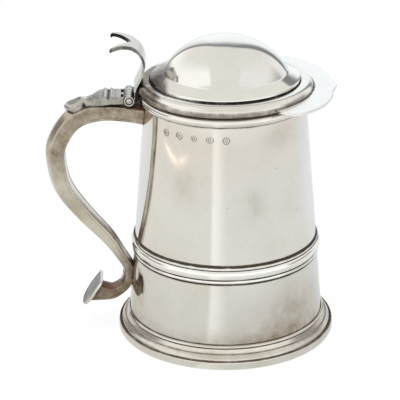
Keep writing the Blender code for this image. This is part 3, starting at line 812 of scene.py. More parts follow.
@dataclass
class BodyAssembly:
    """Drum with its base, foot, girdle and lip."""

    drum: Drum
    bench: Bench
    facets: int = 144
    rows: tuple[float, float, float] = (0.016, 0.136, 0.0030)
    inner_rows: tuple[float, float, float] = (0.008, 0.140, 0.004)
    close_row: float = 0.0003
    close_reach: Point = (0.0006, 0.0030)
    base_height: float = 0.0054
    base_thickness: float = 0.0012
    base_gap: float = 0.0002
    base_curl: float = 0.0004
    centre_point: Point = (0.0006, 0.0004)
    girdle_height: float = 0.0531
    roll_width: float = 0.0055
    roll_depth: float = 0.0019
    reed_width: float = 0.0022
    reed_depth: float = 0.0010
    foot_radius: float = 0.0620
    foot_rim_height: float = 0.0048
    foot_bead: Point = (0.0016, 0.0019)
    foot_inset: float = 0.0016
    foot_hollow: float = 0.0008
    foot_step: float = 0.00035
    foot_bulge: float = 0.0008
    foot_round: float = 0.0006
    shelf_gap: float = 0.0003
    shelf: Point = (0.0012, 0.0008)
    sole_width: float = 0.0034
    lip_bead: Point = (0.0030, 0.0047)
    lip_swell: float = 0.0022
    lip_width: float = 0.0050
    lip_foot: float = 0.0004
    solder: float = 0.00003

    def build(self) -> None:
        """Build and dress every piece of the body."""
        foot = (self.foot_smoke, self.foot_grime)
        joints = self.joint_grime
        outlines = (
            ("drum_wall", self.wall_outline, Finish.WALL, "body_drum", self.wall_smoke, joints),
            ("drum_base", self.base_outline, Finish.WALL, "base_plate"),
            ("foot_moulding", self.foot_outline, Finish.MOULDING, "foot_ring", *foot),
            ("girdle_moulding", self.girdle_outline, Finish.RUBBED, "girdle_band", no_wear, joints),
            ("lip_ring", self.lip_outline, Finish.LIP, "lip_moulding", self.lip_top_painted_shade),
        )
        pieces = [(name, turned(outline, self.facets), *rest) for name, outline, *rest in outlines]
        self.bench.make(pieces, Body.VESSEL, Slot.BODY)

    @property
    def girdle_half(self) -> float:
        """Half the height of the whole girdle."""
        return self.roll_width / 2 + self.reed_width

    def joint_grime(self, at: Surface) -> Values:
        """Grime along the solder lines of the girdle, the foot and the lip.

        Args:
            at: Corners of the piece.

        Returns:
            Share at each corner.
        """
        half = self.girdle_half
        lines = (
            (self.girdle_height + half + 0.0001, 0.0009, 1.0),
            (self.girdle_height - half - 0.0001, 0.0009, 1.0),
            (self.drum.foot_height + 0.0002, 0.0006, 0.6),
            (self.drum.height - self.lip_width - 0.0001, 0.0004, 0.8),
        )
        return sum(depth * bell(at.z, level, wide) for level, wide, depth in lines)

    @property
    def wall_outline(self) -> list[Point]:
        """Outline of the drum, with close rows beside the mouldings."""
        drum = self.drum
        heights = list(np.arange(*self.rows))
        girdle = self.girdle_half
        near, far = self.close_reach
        for edge in (drum.foot_height, self.girdle_height - girdle, self.girdle_height + girdle):
            heights += list(edge + np.arange(-near, far, self.close_row))
            heights += list(edge - np.arange(near, far, self.close_row))
        heights += list(drum.height - self.lip_width - np.arange(-near, far, self.close_row))
        heights = sorted({round(float(z), 5) for z in heights}, reverse=True)
        half = drum.wall / 2
        top = arc((drum.outer(drum.height) - half, drum.height - half), (half, half), 180, 0, 8)
        outer = [(drum.outer(z), z) for z in heights]
        bottom = drum.outer(drum.bottom)
        inner = [(bottom, drum.bottom), (bottom - drum.wall, drum.bottom)]
        inside = [(drum.outer(z) - drum.wall, z) for z in np.arange(*self.inner_rows)]
        return top + outer + inner + inside

    def wall_smoke(self, at: Surface) -> Values:
        """Brown clouds of the wall: low on the right of the front, and a few faint stains.

        Args:
            at: Corners of the piece.

        Returns:
            Share at each corner.
        """
        angle = front_angle(at)
        height = at.z
        total = np.zeros_like(height)
        stains = (
            (42.0, 22.0, 0.024, 0.014, 0.46),
            (24.0, 26.0, 0.014, 0.006, 0.34),
            (-29.0, 8.0, 0.102, 0.009, 0.20),
            (18.0, 7.0, 0.093, 0.010, 0.18),
            (38.0, 10.0, 0.1285, 0.006, 0.26),
            (-74.0, 14.0, 0.028, 0.020, 0.36),
        )
        for middle, wide, level, tall, depth in stains:
            total += depth * bell(angle, middle, wide) * bell(height, level, tall)
        total += 0.26 * bell(height, self.drum.foot_height, 0.005)
        return total

    def lip_top_painted_shade(self, at: Surface) -> Values:
        """Painted shade on the top of the lip's bead, under the lid's rim."""
        return 0.80 * climb(at.out_z, 0.72, 0.2)

    def foot_smoke(self, at: Surface) -> Values:
        """Thin brown haze on the slope of the foot."""
        return 0.32 * bell(at.z, 0.0076, 0.0034)

    def foot_grime(self, at: Surface) -> Values:
        """Grime in the two grooves of the foot."""
        return 0.50 * bell(at.z, 0.0077, 0.00045) + 0.72 * bell(at.z, 0.0046, 0.00045)

    @property
    def base_outline(self) -> list[Point]:
        """Plate inside the drum, with the turner's centre point on both faces."""
        low = self.base_height
        high = low + self.base_thickness
        edge = self.drum.outer(high) - self.drum.wall - self.base_gap
        radius, deep = self.centre_point
        curl = self.base_curl
        above = [(0.0, high - deep), (radius, high), (edge - curl, high), (edge, high + curl)]
        below = [(edge, low), (radius, low), (0.0, low + deep)]
        return divided(above + below, 0.003)

    @property
    def foot_outline(self) -> list[Point]:
        """Moulded foot: a bead, a two-part slope, a groove and a plain rim."""
        drum = self.drum
        wall = drum.outer(drum.foot_height) - self.solder
        depth, tall = self.foot_bead
        bead = arc((wall, drum.foot_height - tall / 2), (depth, tall / 2), 88, -62, 16)
        top = (bead[-1][0] + 0.0005, drum.foot_height - tall - 0.0001)
        foot = (self.foot_radius - self.foot_inset, self.foot_rim_height)
        slope = []
        for step in range(25):
            share = step / 24
            hollow = self.foot_hollow * sin(pi * share)
            out = self.foot_step * ease(share, 0.30, 0.38) * (1 - ease(share, 0.80, 1.0))
            radius = top[0] + (foot[0] - top[0]) * share + out
            slope.append((radius, top[1] + (foot[1] - top[1]) * share - hollow + out))
        groove = [(foot[0] + 0.0002, foot[1] - 0.0005), (foot[0] + 0.0006, foot[1] - 0.0006)]
        half = self.foot_rim_height / 2
        rim = arc((self.foot_radius - self.foot_bulge, half), (self.foot_bulge, half), 88, 0, 16)
        soft = self.foot_round
        edge = arc((self.foot_radius - soft, soft), (soft, soft), 0, -90, 6)
        shelf = drum.bottom - self.shelf_gap
        inside = drum.outer(shelf)
        ledge = inside - self.shelf[0]
        under = [
            (self.foot_radius - soft - self.sole_width, 0.0),
            (ledge, shelf - self.shelf[1]),
            (ledge, shelf),
            (inside - self.solder, shelf),
        ]
        return bead + slope + groove + rim + edge + divided(under, 0.002)

    @property
    def girdle_outline(self) -> list[Point]:
        """Band round the drum: a roll between two reeds."""
        outline: list[Point] = []
        low = self.girdle_height - self.roll_width / 2
        high = self.girdle_height + self.roll_width / 2
        stack = (
            (high + self.reed_width, high, self.reed_depth, 12),
            (high, low, self.roll_depth, 24),
            (low, low - self.reed_width, self.reed_depth, 12),
        )
        for top, bottom, depth, steps in stack:
            middle = (top + bottom) / 2
            wall = self.drum.outer(middle) - self.solder
            outline += arc((wall, middle), (depth, (top - bottom) / 2), 85, -85, steps)
        for height in (low - self.reed_width, high + self.reed_width):
            outline.append((self.drum.outer(height) - self.solder * 4, height))
        return outline

    @property
    def lip_outline(self) -> list[Point]:
        """Half-round ring round the mouth."""
        drum = self.drum
        depth, tall = self.lip_bead
        low = drum.height - self.lip_width
        middle = drum.height - tall / 2
        wall = drum.outer(low)
        bead = arc((wall + depth - self.lip_swell, middle), (self.lip_swell, tall / 2), 90, -68, 26)
        back = [(wall + self.lip_foot, low), (wall - self.solder, low)]
        return bead + back + [(drum.outer(drum.height) - self.solder, drum.height)]


def new_tree(name: str, sizes: dict[str, object]) -> tuple[Graph, Outputs]:
    """Start a Geometry Nodes tree.

    Args:
        name: Name of the tree.
        sizes: Value of each named input, which gives the input its kind.

    Returns:
        The graph of the tree and its named inputs.
    """
    tree = bpy.data.node_groups.new(name, "GeometryNodeTree")
    tree.interface.new_socket("Geometry", in_out="OUTPUT", socket_type="NodeSocketGeometry")
    for label, value in sizes.items():
        kind = f"NodeSocket{SOCKETS[type(value)]}"
        tree.interface.new_socket(label, in_out="INPUT", socket_type=kind)
    graph = Graph(tree)
    return graph, graph.node("NodeGroupInput").outputs


def set_copies(graph: Graph, inputs: dict, material: Socket) -> Tree:
    """Set copies of a shape on points and end the tree with one dressed mesh.

    Args:
        graph: Graph of the tree.
        inputs: What the copies are made of and where they stand.
        material: Material of the mesh.

    Returns:
        The finished tree.
    """
    copies = graph.node("GeometryNodeInstanceOnPoints", inputs)
    whole = graph.node("GeometryNodeRealizeInstances", {0: copies.outputs[0]})
    dressed = graph.node("GeometryNodeSetMaterial", {"Geometry": whole.outputs[0], "Material": material})
    graph.node("NodeGroupOutput", {0: dressed.outputs[0]})
    return graph.tree


@dataclass
class PunchMarks:
    """Worn plain rings punched in a row under the lip."""

    drum: Drum
    bench: Bench
    count: int = 5
    first: float = -136.2
    step: float = 11.2
    height: float = 0.1301
    oval: Point = (0.0018, 0.0016)
    edge: float = 0.00034
    boss: float = 0.40
    uneven: Point = (0.12, 0.14)

    def tree(self, sizes: dict[str, object]) -> Tree:
        """Build the tree that sets the rings round the wall.

        Args:
            sizes: Value of each named input.

        Returns:
            The node tree.
        """
        graph, size = new_tree("punch_row", sizes)
        index = graph.node("GeometryNodeInputIndex").outputs[0]
        angle = graph.scaled(index, size["Step"], size["First"])
        out_x = graph.times(graph.math("COSINE", angle), size["Radius"])
        out_y = graph.times(graph.math("SINE", angle), size["Radius"])
        place = graph.xyz(out_x, out_y, size["Height"])
        facing = graph.math("ADD", angle, pi / 2)
        upright = graph.math("ADD", size["Lean"], pi / 2)
        turns = graph.xyz(upright, 0.0, facing)
        spin = graph.node("FunctionNodeEulerToRotation", {0: turns}).outputs[0]
        row = graph.node("GeometryNodeMeshLine", {"Count": size["Count"]})
        placed = graph.node("GeometryNodeSetPosition", {"Geometry": row.outputs[0], "Position": place})
        circle = graph.node("GeometryNodeCurvePrimitiveCircle", {"Resolution": 40, "Radius": 1.0})
        stretch = graph.xyz(size["Half Width"], size["Half Height"], 1.0)
        oval = graph.node("GeometryNodeTransform", {"Geometry": circle.outputs[0], "Scale": stretch})
        wire = graph.node("GeometryNodeCurvePrimitiveCircle", {"Resolution": 8, "Radius": size["Edge"]})
        inputs = {"Curve": oval.outputs[0], "Profile Curve": wire.outputs[0]}
        ring = graph.node("GeometryNodeCurveToMesh", inputs)
        small = graph.xyz(size["Boss"], size["Boss"], 1.0)
        boss = graph.node("GeometryNodeTransform", {"Geometry": ring.outputs[0], "Scale": small})
        whole_mark = graph.node("GeometryNodeJoinGeometry", {0: boss.outputs[0]})
        graph.feed(whole_mark.inputs[0], ring.outputs[0])
        sway = graph.math("SINE", graph.times(index, 2.4))
        lean_to = graph.math("SINE", graph.scaled(index, 1.7, 0.6))
        wide = graph.scaled(sway, size["Uneven Width"], 1.0)
        tall = graph.scaled(lean_to, size["Uneven Height"], 1.0)
        inputs = {
            "Points": placed.outputs[0],
            "Instance": whole_mark.outputs[0],
            "Rotation": spin,
            "Scale": graph.xyz(wide, tall, 1.0),
        }
        return set_copies(graph, inputs, size["Material"])

    def build(self) -> None:
        """Build and dress the row of rings."""
        drum = self.drum
        taper = (drum.foot_radius - drum.mouth_radius) / (drum.height - drum.foot_height)
        sizes = {
            "Count": self.count,
            "Radius": drum.outer(self.height),
            "Height": self.height,
            "First": radians(self.first),
            "Step": radians(self.step),
            "Lean": -atan(taper),
            "Half Width": self.oval[0],
            "Half Height": self.oval[1],
            "Edge": self.edge,
            "Boss": self.boss,
            "Uneven Width": self.uneven[0],
            "Uneven Height": self.uneven[1],
            "Material": Finish.PUNCH.material,
        }
        made = nodes_piece(self.bench, "punch_marks", self.tree(sizes), sizes)
        self.bench.finish(made, Finish.PUNCH, Body.VESSEL, Slot.BODY, [], grime_and_shade=self.grime_and_shade)

    def grime_and_shade(self, at: Surface) -> Values:
        """Painted shade on each ring, darkest on its lower right side."""
        return np.clip(0.42 - 0.8 * at.out_z + 0.8 * at.out_x, 0.0, 1.0)


def nodes_piece(bench: Bench, name: str, tree: Tree, sizes: dict[str, object]) -> Object:
    """Plain mesh made by a Geometry Nodes tree.

    Args:
        bench: Bench that gives the drum's axis.
        name: The piece's name.
        tree: The tree.
        sizes: Value of each named input.

    Returns:
        The object, without its modifier.
    """
    made = bench.mesh(name, bmesh.new())
    maker = made.modifiers.new("maker", "NODES")
    maker.node_group = tree
    for socket in tree.interface.items_tree:
        if socket.in_out == "INPUT":
            maker[socket.identifier] = sizes[socket.name]
    bench.settle(made)
    made.data.transform(Matrix.Translation((bench.axis_x, 0.0, 0.0)))
    return made


@dataclass(frozen=True)
class Station:
    """Place on the handle: its inner point, its directions, its depth and half width."""

    inner: Vector
    heading: Vector
    normal: Vector
    depth: float
    half: float


@dataclass
class HandleAssembly:
    """Hollow scroll handle: a bent channel, the strip that closes it and the shield on its tail."""

    drum: Drum
    bench: Bench
    top: float
    finger_room: float = 0.0418
    depth: float = 0.0113
    width: float = 0.0164
    wall: float = 0.0010
    crown: float = 0.0015
    edge: float = 0.0010
    bulge_edge: float = 0.0016
    low_join: float = 0.0275
    join_radius: float = 0.0535
    seat: float = -0.0002
    samples: int = 12
    look: float = 0.3
    seam: float = 0.00012
    strip_proud: float = 0.00012
    strip_swell: float = 0.00025
    reed_width: float = 0.0013
    reed_rise: float = 0.00022
    reed_inset: float = 0.00018
    reed_gap: float = 0.0002
    shield_length: float = 0.0190
    shield_width: float = 0.0206
    shield_top_width: float = 0.0160
    shield_tilt: float = radians(35)
    shield_drop: float = 0.0012
    line: tuple[tuple[float, float, float, float], ...] = (
        (0.000, 0.976, 0.82, 1.00),
        (0.253, 0.995, 0.77, 1.00),
        (0.565, 1.000, 0.77, 0.99),
        (0.835, 0.960, 0.90, 0.94),
        (0.990, 0.859, 0.95, 0.88),
        (1.015, 0.765, 0.95, 0.82),
        (0.915, 0.602, 0.88, 0.76),
        (0.640, 0.444, 0.77, 0.71),
        (0.321, 0.297, 0.66, 0.67),
        (0.110, 0.168, 0.53, 0.65),
        (0.000, 0.099, 0.55, 0.63),
        (-0.034, 0.050, 0.64, 0.62),
        (0.000, 0.000, 0.57, 0.62),
        (0.075, -0.048, 0.56, 0.61),
        (0.240, -0.096, 0.70, 0.61),
        (0.490, -0.104, 0.98, 0.61),
    )

    @property
    def last(self) -> int:
        """Index of the line's last row."""
        return len(self.line) - 1

    def inner_point(self, place: float) -> Vector:
        """Point of the inner line, which dips into the drum at the low join.

        Args:
            place: Rows from the line's start.

        Returns:
            The point.
        """
        out, up, _, _ = smooth_row(self.line, place)
        height = self.low_join + up * (self.top - self.low_join)
        return Vector((-(self.drum.outer(height) + self.seat + out * self.finger_room), 0.0, height))

    def station(self, place: float) -> Station:
        """Place on the handle, counted in rows of its line.

        Args:
            place: Rows from the line's start.

        Returns:
            The inner point, heading, outward normal, depth and half width there.
        """
        ahead = self.inner_point(min(place + self.look, self.last))
        behind = self.inner_point(max(place - self.look, 0.0))
        heading = (ahead - behind).normalized()
        normal = Vector((heading.z, 0.0, -heading.x))
        _, _, depth, width = smooth_row(self.line, place)
        inner = self.inner_point(place)
        return Station(inner, heading, normal, depth * self.depth, width * self.width / 2)

    def edge_at(self, half: float) -> float:
        """Radius of the shoulder, which is softest on the bulge, by half width."""
        return self.edge + self.bulge_edge * exp(-(((half - 0.0070) / 0.0007) ** 2))

    def crown_at(self, half: float) -> float:
        """Rise of the crown, which is flat on the top arm, by half width."""
        return self.crown * (1 - 0.65 * ease(half, 0.0077, 0.0081))

    def half_channel(
        self, depth: float, half: float, edge: float, crown: float, reeded: bool
    ) -> list[Point]:
        """Half of a channel's curve, from the foot of its side to its crown.

        Args:
            depth: Depth of the channel.
            half: Half its width.
            edge: Radius of its shoulder.
            crown: Rise of its crown above the shoulder.
            reeded: Whether a fine reed runs along the foot of the side.

        Returns:
            Points of (across, out).
        """
        points: list[Point] = []
        start = 0.0
        if reeded:
            for step in range(9):
                angle = pi * step / 8
                rise = self.reed_rise * sin(angle)
                out = self.reed_width * (1 - cos(angle)) / 2
                points.append((half - self.reed_inset + rise, out))
            start = self.reed_width + self.reed_gap
        flat = half - edge
        shoulder = depth - crown
        side_top = shoulder - edge
        points += [(half, start + (side_top - start) * step / 8) for step in range(9)]
        points += arc((flat, side_top), (edge, edge), 0, 80, 8)[1:]
        for step in range(1, 9):
            share = 1 - step / 8
            across = flat * share + edge * 0.17 * share
            points.append((across, depth - crown * share * share))
        return points

    def channel(self, depth: float, half: float, edge: float, crown: float, reeded: bool) -> list[Point]:
        """Whole curve of a channel from one side to the other."""
        side = self.half_channel(depth, half, edge, crown, reeded)
        return side + [(-across, out) for across, out in side[-2::-1]]

    def seat_on_drum(self, point: Vector) -> Vector:
        """Same point moved along X to the drum's wall."""
        reach = self.drum.outer(point.z) + self.seat
        return Vector((-sqrt(reach * reach - point.y * point.y), point.y, point.z))

    def out_of_drum(self, point: Vector) -> Vector:
        """Same point, moved to the drum's wall where it would lie inside it."""
        seated = self.seat_on_drum(point)
        return seated if point.x > seated.x else point

    @cached_property
    def tail_plane(self) -> tuple[Vector, Vector]:
        """Point and outward direction of the shield's inner face."""
        end = self.station(self.last)
        outward = Vector((-cos(self.shield_tilt), 0.0, sin(self.shield_tilt)))
        return end.inner + end.normal * end.depth / 2, outward

    def rings(self, section: Callable[[float, float], list[Point]]) -> list[list[Vector]]:
        """Rings along the handle, the first on the drum's wall and the last against the shield.

        Args:
            section: Gives the points of (across, out) for a depth and half width.

        Returns:
            One ring of points for each place.
        """
        middle, outward = self.tail_plane
        count = self.last * self.samples
        rings = []
        for step in range(count + 1):
            at = self.station(step / self.samples)
            ring = [
                at.inner + at.normal * out + Vector((0.0, across, 0.0))
                for across, out in section(at.depth, at.half)
            ]
            ahead = max((point - middle).dot(outward) for point in ring)
            if step == count or step < count - self.samples or ahead < -0.0004:
                rings.append(ring)
        slope = at.heading.dot(outward)
        rings = [[self.out_of_drum(point) for point in ring] for ring in rings]
        rings[0] = [self.seat_on_drum(point) for point in rings[0]]
        rings[-1] = [p + at.heading * ((middle - p).dot(outward) / slope) for p in rings[-1]]
        return rings

    def from_join(self, at: Surface) -> Values:
        """Distance of each point from the wall at the handle's lower join."""
        return np.hypot(at.x, at.y) - self.join_radius

    def smoke(self, at: Surface) -> Values:
        """Brown smoke of the handle on its bulge, at its lower join and on its tail, held back on its
        back and top as painted light, with painted shade on the side that faces the drum.

        Args:
            at: Corners of the piece.

        Returns:
            Share at each corner.
        """
        height = at.z
        upper = 0.76 * climb(height, 0.084, 0.024)
        middle = 0.34 * bell(height, 0.078, 0.012)
        near = climb(self.from_join(at), 0.01375, -0.011)
        join = 0.74 * near * climb(height, 0.056, -0.012)
        tail = 0.90 * climb(height, 0.034, -0.006)
        total = np.maximum.reduce([upper, middle, join, tail])
        # Painted light: less smoke on the back and on the top of the arm.
        back = climb(at.out_x, 0.0, -0.6) * (height > 0.055)
        top = climb(at.out_z, 0.3, 0.5) * (height > 0.120)
        total *= 1.0 - 0.48 * np.maximum(back, top)
        # Painted shade on the side that faces the drum.
        inner = np.where(height > 0.062, 0.85, 0.62) * climb(at.out_x, 0.15, 0.4)
        return np.maximum(total, inner)

    def strip_smoke_and_shade(self, at: Surface) -> Values:
        """Smoke along the strip's two edges, and all over it low down, with the handle's painted shade.

        Args:
            at: Corners of the piece.

        Returns:
            Share at each corner.
        """
        rows = self.line[12:2:-1]
        heights = [self.low_join + up * (self.top - self.low_join) for _, up, _, _ in rows]
        reaches = [width * self.width / 2 - self.wall - self.seam for _, _, _, width in rows]
        share = np.abs(at.y) / np.interp(at.z, heights, reaches)
        edges = 0.90 * climb(share, 0.80, 0.15)
        low = climb(at.z, 0.066, -0.008) * self.smoke(at)
        return np.maximum(edges, low)

    def grime_and_shade(self, at: Surface) -> Values:
        """Painted shade on the handle's back by the lip; darkening on the upward faces of its tail and
        low down; grime at its lower join and in smudges on its inner side.

        Args:
            at: Corners of the piece.

        Returns:
            Share at each corner.
        """
        height = at.z
        near_lip = climb(at.x, -0.0565, 0.0015)
        high = climb(height, 0.130, 0.003)
        # Painted shade on the back between the hinge and the lip.
        lip = 0.95 * near_lip * high * climb(at.out_z, 0.1, 0.3)
        tail = climb(height, 0.037, -0.004) * climb(at.out_z, 0.35, 0.3)
        join = climb(self.from_join(at), 0.0066, -0.0055) * climb(height, 0.052, -0.006)
        low = 0.42 * climb(height, 0.034, -0.006)
        smudge = 0.85 * bell(height, 0.054, 0.009) * climb(at.out_x, 0.3, 0.4)
        return np.maximum.reduce([lip, 0.70 * tail, 0.66 * join, low, smudge])

    def back_section(self, depth: float, half: float) -> list[Point]:
        """Section of the channel for a depth and half width.

        Args:
            depth: Depth of the handle there.
            half: Half its width.

        Returns:
            Points of (across, out).
        """
        edge = self.edge_at(half)
        crown = self.crown_at(half)
        outer = self.channel(depth, half, edge, crown, True)
        inside = max(edge - self.wall, 0.0001)
        inner = self.channel(depth - self.wall, half - self.wall, inside, crown, False)
        gaps = np.linspace(0, len(inner) - 1, len(outer))
        return outer + [inner[round(float(k))] for k in gaps][::-1]

    def strip_section(self, depth: float, half: float) -> list[Point]:
        """Section of the strip for a depth and half width.

        Args:
            depth: Depth of the handle there.
            half: Half its width.

        Returns:
            Points of (across, out).
        """
        reach = half - self.wall - self.seam
        across = [reach * (1 - step / 6) for step in range(13)]
        swell = [self.strip_swell * (1 - (y / reach) ** 2) for y in across]
        face = [(y, self.strip_proud - s) for y, s in zip(across, swell)]
        return face + [(y, self.wall) for y in across[::-1]]

    def build(self) -> None:
        """Build and dress the channel, the strip and the shield."""
        back = lofted(self.rings(self.back_section))
        strip = lofted(self.rings(self.strip_section))
        wear_and_shade = (self.strip_smoke_and_shade, self.grime_and_shade)
        pieces = (
            ("handle_channel", back, Finish.HANDLE, "handle_back", self.smoke, self.grime_and_shade),
            ("handle_strip", strip, Finish.HANDLE, "handle_inner_strip", *wear_and_shade),
            ("tail_shield", self.shield(), Finish.SHIELD, "handle_terminal", self.shield_face_shade),
        )
        self.bench.make(pieces, Body.VESSEL, Slot.HANDLE)

    def shield_face_shade(self, at: Surface) -> Values:
        """Painted shade on the face of the shield; its edge is left light."""
        _, outward = self.tail_plane
        return climb(at.out_x * outward.x + at.out_z * outward.z, 0.80, 0.15)

    def shield(self) -> Mesh:
        """Shield-shaped plate with rounded edges and a low swell on its face.

        Returns:
            The closed mesh.
        """
        middle, outward = self.tail_plane
        down = Vector((-outward.z, 0.0, outward.x))
        centre = middle + down * self.shield_drop
        half_length = self.shield_length / 2
        half_top = self.shield_top_width / 2
        half_width = self.shield_width / 2
        side: list[Point] = []
        for step in range(40):
            angle = pi * step / 40
            swell = sin(angle)
            upper = half_top + (half_width - half_top) * swell
            across = upper if step < 20 else half_width * swell ** 0.7
            side.append((across, -half_length * cos(angle)))
        rim = side + [(0.0, half_length)] + [(-across, along) for across, along in side[::-1]]
        rim = divided(rim + rim[:1], 0.0012)[:-1]
        levels = [(0.62, 0.0), (0.96, 0.0), (1.0, 0.0004), (1.0, 0.0014), (0.985, 0.00170)]
        levels += [(0.95, 0.00175), (0.86, 0.00175), (0.83, 0.00163), (0.6, 0.00175), (0.25, 0.0019)]
        bm = bmesh.new()
        rows = []
        for scale, rise in levels:
            places = [(across * scale, along * scale) for across, along in rim]
            rows.append([
                bm.verts.new(centre + down * along + outward * rise + Vector((0.0, across, 0.0)))
                for across, along in places
            ])
        skin(bm, rows)
        bm.faces.new(rows[0])
        bm.faces.new(rows[-1])
        return bm


@dataclass
class HingeAssembly:
    """Five-knuckle hinge with its pin, its leaf on the lid and its plate on the handle's back."""

    bench: Bench
    handle: HandleAssembly
    place: Vector
    width: float = 0.0200
    pin_radius: float = 0.0018
    knuckles: int = 5
    knuckle_radius: float = 0.0029
    knuckle_bore: float = 0.0021
    running_gap: float = 0.0003
    round_edge: float = 0.0002
    leaf_radius: float = 0.0486
    leaf_width: float = 0.0150
    leaf_top: float = 0.1446
    leaf_back: float = -0.0501
    leaf_drop: float = 0.0010
    leaf_step: float = 0.1427
    leaf_overlap: float = 0.0011
    plate_width: float = 0.0166
    plate_foot: float = 0.0032
    undercut: float = 0.0007
    toe: float = 0.22
    plate_rise: float = 0.0016
    notch: float = 0.0015
    block_start: float = 0.0061
    block_length: float = 0.0050
    block_lift: float = 0.0004
    grooves: tuple[tuple[float, float, float], ...] = (
        (0.0034, 0.00030, 0.35),
        (0.0050, 0.00022, 0.25),
        (0.0070, 0.00045, -0.65),
        (0.0084, 0.00080, 1.00),
        (0.0101, 0.00045, -0.65),
        (0.0116, 0.00060, 0.50),
        (0.0168, 0.00040, 0.45),
    )
    groove_depth: float = 0.0008
    dish: float = 0.0010
    neck: float = 0.0205
    neck_width: float = 0.0116
    neck_thickness: float = 0.0032
    drop_length: float = 0.0120
    drop_width: float = 0.0140
    drop_thickness: float = 0.0042
    drop_tip_width: float = 0.0016
    plate_step: float = 0.0002

    @property
    def knuckle_width(self) -> float:
        """Length of one knuckle."""
        return (self.width - (self.knuckles - 1) * self.running_gap) / self.knuckles

    @property
    def plate_end(self) -> float:
        """X of the hinge plate's end."""
        return self.place.x - self.knuckle_radius - self.running_gap

    def middle(self, index: int) -> float:
        """Place of a knuckle's middle along the hinge."""
        return -self.width / 2 + self.knuckle_width / 2 + index * (self.knuckle_width + self.running_gap)

    def tree(self, sizes: dict[str, object]) -> Tree:
        """Build the tree that sets equal knuckles along the pin.

        Args:
            sizes: Value of each named input.

        Returns:
            The node tree.
        """
        graph, size = new_tree("knuckle_row", sizes)
        inputs = {"Resolution": 56, "Radius": size["Middle Radius"]}
        path = graph.node("GeometryNodeCurvePrimitiveCircle", inputs)
        inputs = {"Width": size["Wall"], "Height": size["Width"]}
        box = graph.node("GeometryNodeCurvePrimitiveQuadrilateral", inputs)
        inputs = {"Curve": box.outputs[0], "Radius": size["Round"], "Count": 4}
        soft = graph.node("GeometryNodeFilletCurve", inputs, mode="POLY")
        inputs = {"Curve": path.outputs[0], "Profile Curve": soft.outputs[0]}
        tube = graph.node("GeometryNodeCurveToMesh", inputs)
        inputs = {"Geometry": tube.outputs[0], "Rotation": (pi / 2, 0.0, 0.0)}
        laid = graph.node("GeometryNodeTransform", inputs)
        inputs = {"Count": size["Count"], "Start Location": size["Start"], "Offset": size["Pitch"]}
        row = graph.node("GeometryNodeMeshLine", inputs)
        inputs = {"Points": row.outputs[0], "Instance": laid.outputs[0]}
        return set_copies(graph, inputs, size["Material"])

    def build(self) -> None:
        """Build and dress every piece of the hinge."""
        rows = (
            ("handle_knuckles", 0, 3, Body.VESSEL, ["near", "middle", "far"], "handle_knuckle_"),
            ("lid_knuckles", 1, 2, Body.LID, ["near", "far"], "lid_knuckle_"),
        )
        for name, first, count, body, ends, stem in rows:
            sizes = {
                "Count": count,
                "Start": (self.place.x, self.middle(first), self.place.z),
                "Pitch": (0.0, 2 * (self.knuckle_width + self.running_gap), 0.0),
                "Middle Radius": (self.knuckle_radius + self.knuckle_bore) / 2,
                "Wall": self.knuckle_radius - self.knuckle_bore,
                "Width": self.knuckle_width,
                "Round": self.round_edge,
                "Material": Finish.HINGE.material,
            }
            made = nodes_piece(self.bench, name, self.tree(sizes), sizes)
            self.bench.finish(made, Finish.HINGE, body, Slot.HINGE, [stem + end for end in ends])
        self.build_pin()
        self.build_leaf()
        self.build_plate()

    def build_pin(self) -> None:
        """Build and dress the pin, with its ends spread and rounded."""
        half = self.width / 2
        radius = self.pin_radius
        end = arc((0.0, half - 0.0005), (radius, 0.0006), 90, 10, 8)
        outline = end + [(radius, half - 0.001), (radius, 0.001 - half)]
        outline += [(r, -z) for r, z in end[::-1]]
        bm = turned(outline, 40)
        laid = Matrix.Rotation(pi / 2, 4, "X")
        laid.translation = (self.place.x, 0.0, self.place.z)
        bmesh.ops.transform(bm, matrix=laid, verts=bm.verts)
        self.bench.make([("pin", bm, Finish.HINGE, "hinge_pin")], Body.VESSEL, Slot.HINGE)

    def build_leaf(self) -> None:
        """Build and dress the leaf that joins the lid's knuckles to its rim."""
        low = self.place.z - self.leaf_drop
        half = self.leaf_width / 2
        places = [half * (2 * step / 16 - 1) for step in range(17)]
        bm = bmesh.new()
        for radius, bottom, top in (
            (self.leaf_radius, low, self.leaf_step),
            (self.leaf_radius - self.leaf_overlap, self.leaf_step, self.leaf_top),
        ):
            outline = [Vector((-sqrt(radius * radius - y * y), y, bottom)) for y in places]
            outline += [Vector((self.leaf_back, y, bottom)) for y in (half, -half)]
            extruded(outline, Vector((0.0, 0.0, top - bottom)), bm)
        made = self.bench.mesh("hinge_leaf", bm)
        soften(made, self.round_edge, 3)
        self.bench.settle(made)
        nodes = ["lid_hinge_leaf"]
        self.bench.finish(made, Finish.HINGE, Body.LID, Slot.HINGE, nodes, grime_and_shade=self.leaf_painted_shade)

    def leaf_painted_shade(self, at: Surface) -> Values:
        """Painted shade all over the leaf, which sits in deep shadow."""
        return np.ones_like(at.x)

    @cached_property
    def back_line(self) -> list[tuple[float, Vector, Vector, float]]:
        """Frames of the handle's back from the hinge plate's end to the drop's tip."""
        frames = []
        travelled = 0.0
        wanted = 0.0
        place = 0.0
        previous = Vector()
        while wanted <= self.neck + self.drop_length + 1e-9:
            at = self.handle.station(place)
            crown = at.inner + at.normal * at.depth
            if crown.x <= self.plate_end:
                travelled += (crown - previous).length if frames else 0.0
                if travelled >= wanted - 1e-9:
                    frames.append((travelled, crown, at.normal, at.half))
                    wanted += self.plate_step
                previous = crown
            place += 0.001
        return frames

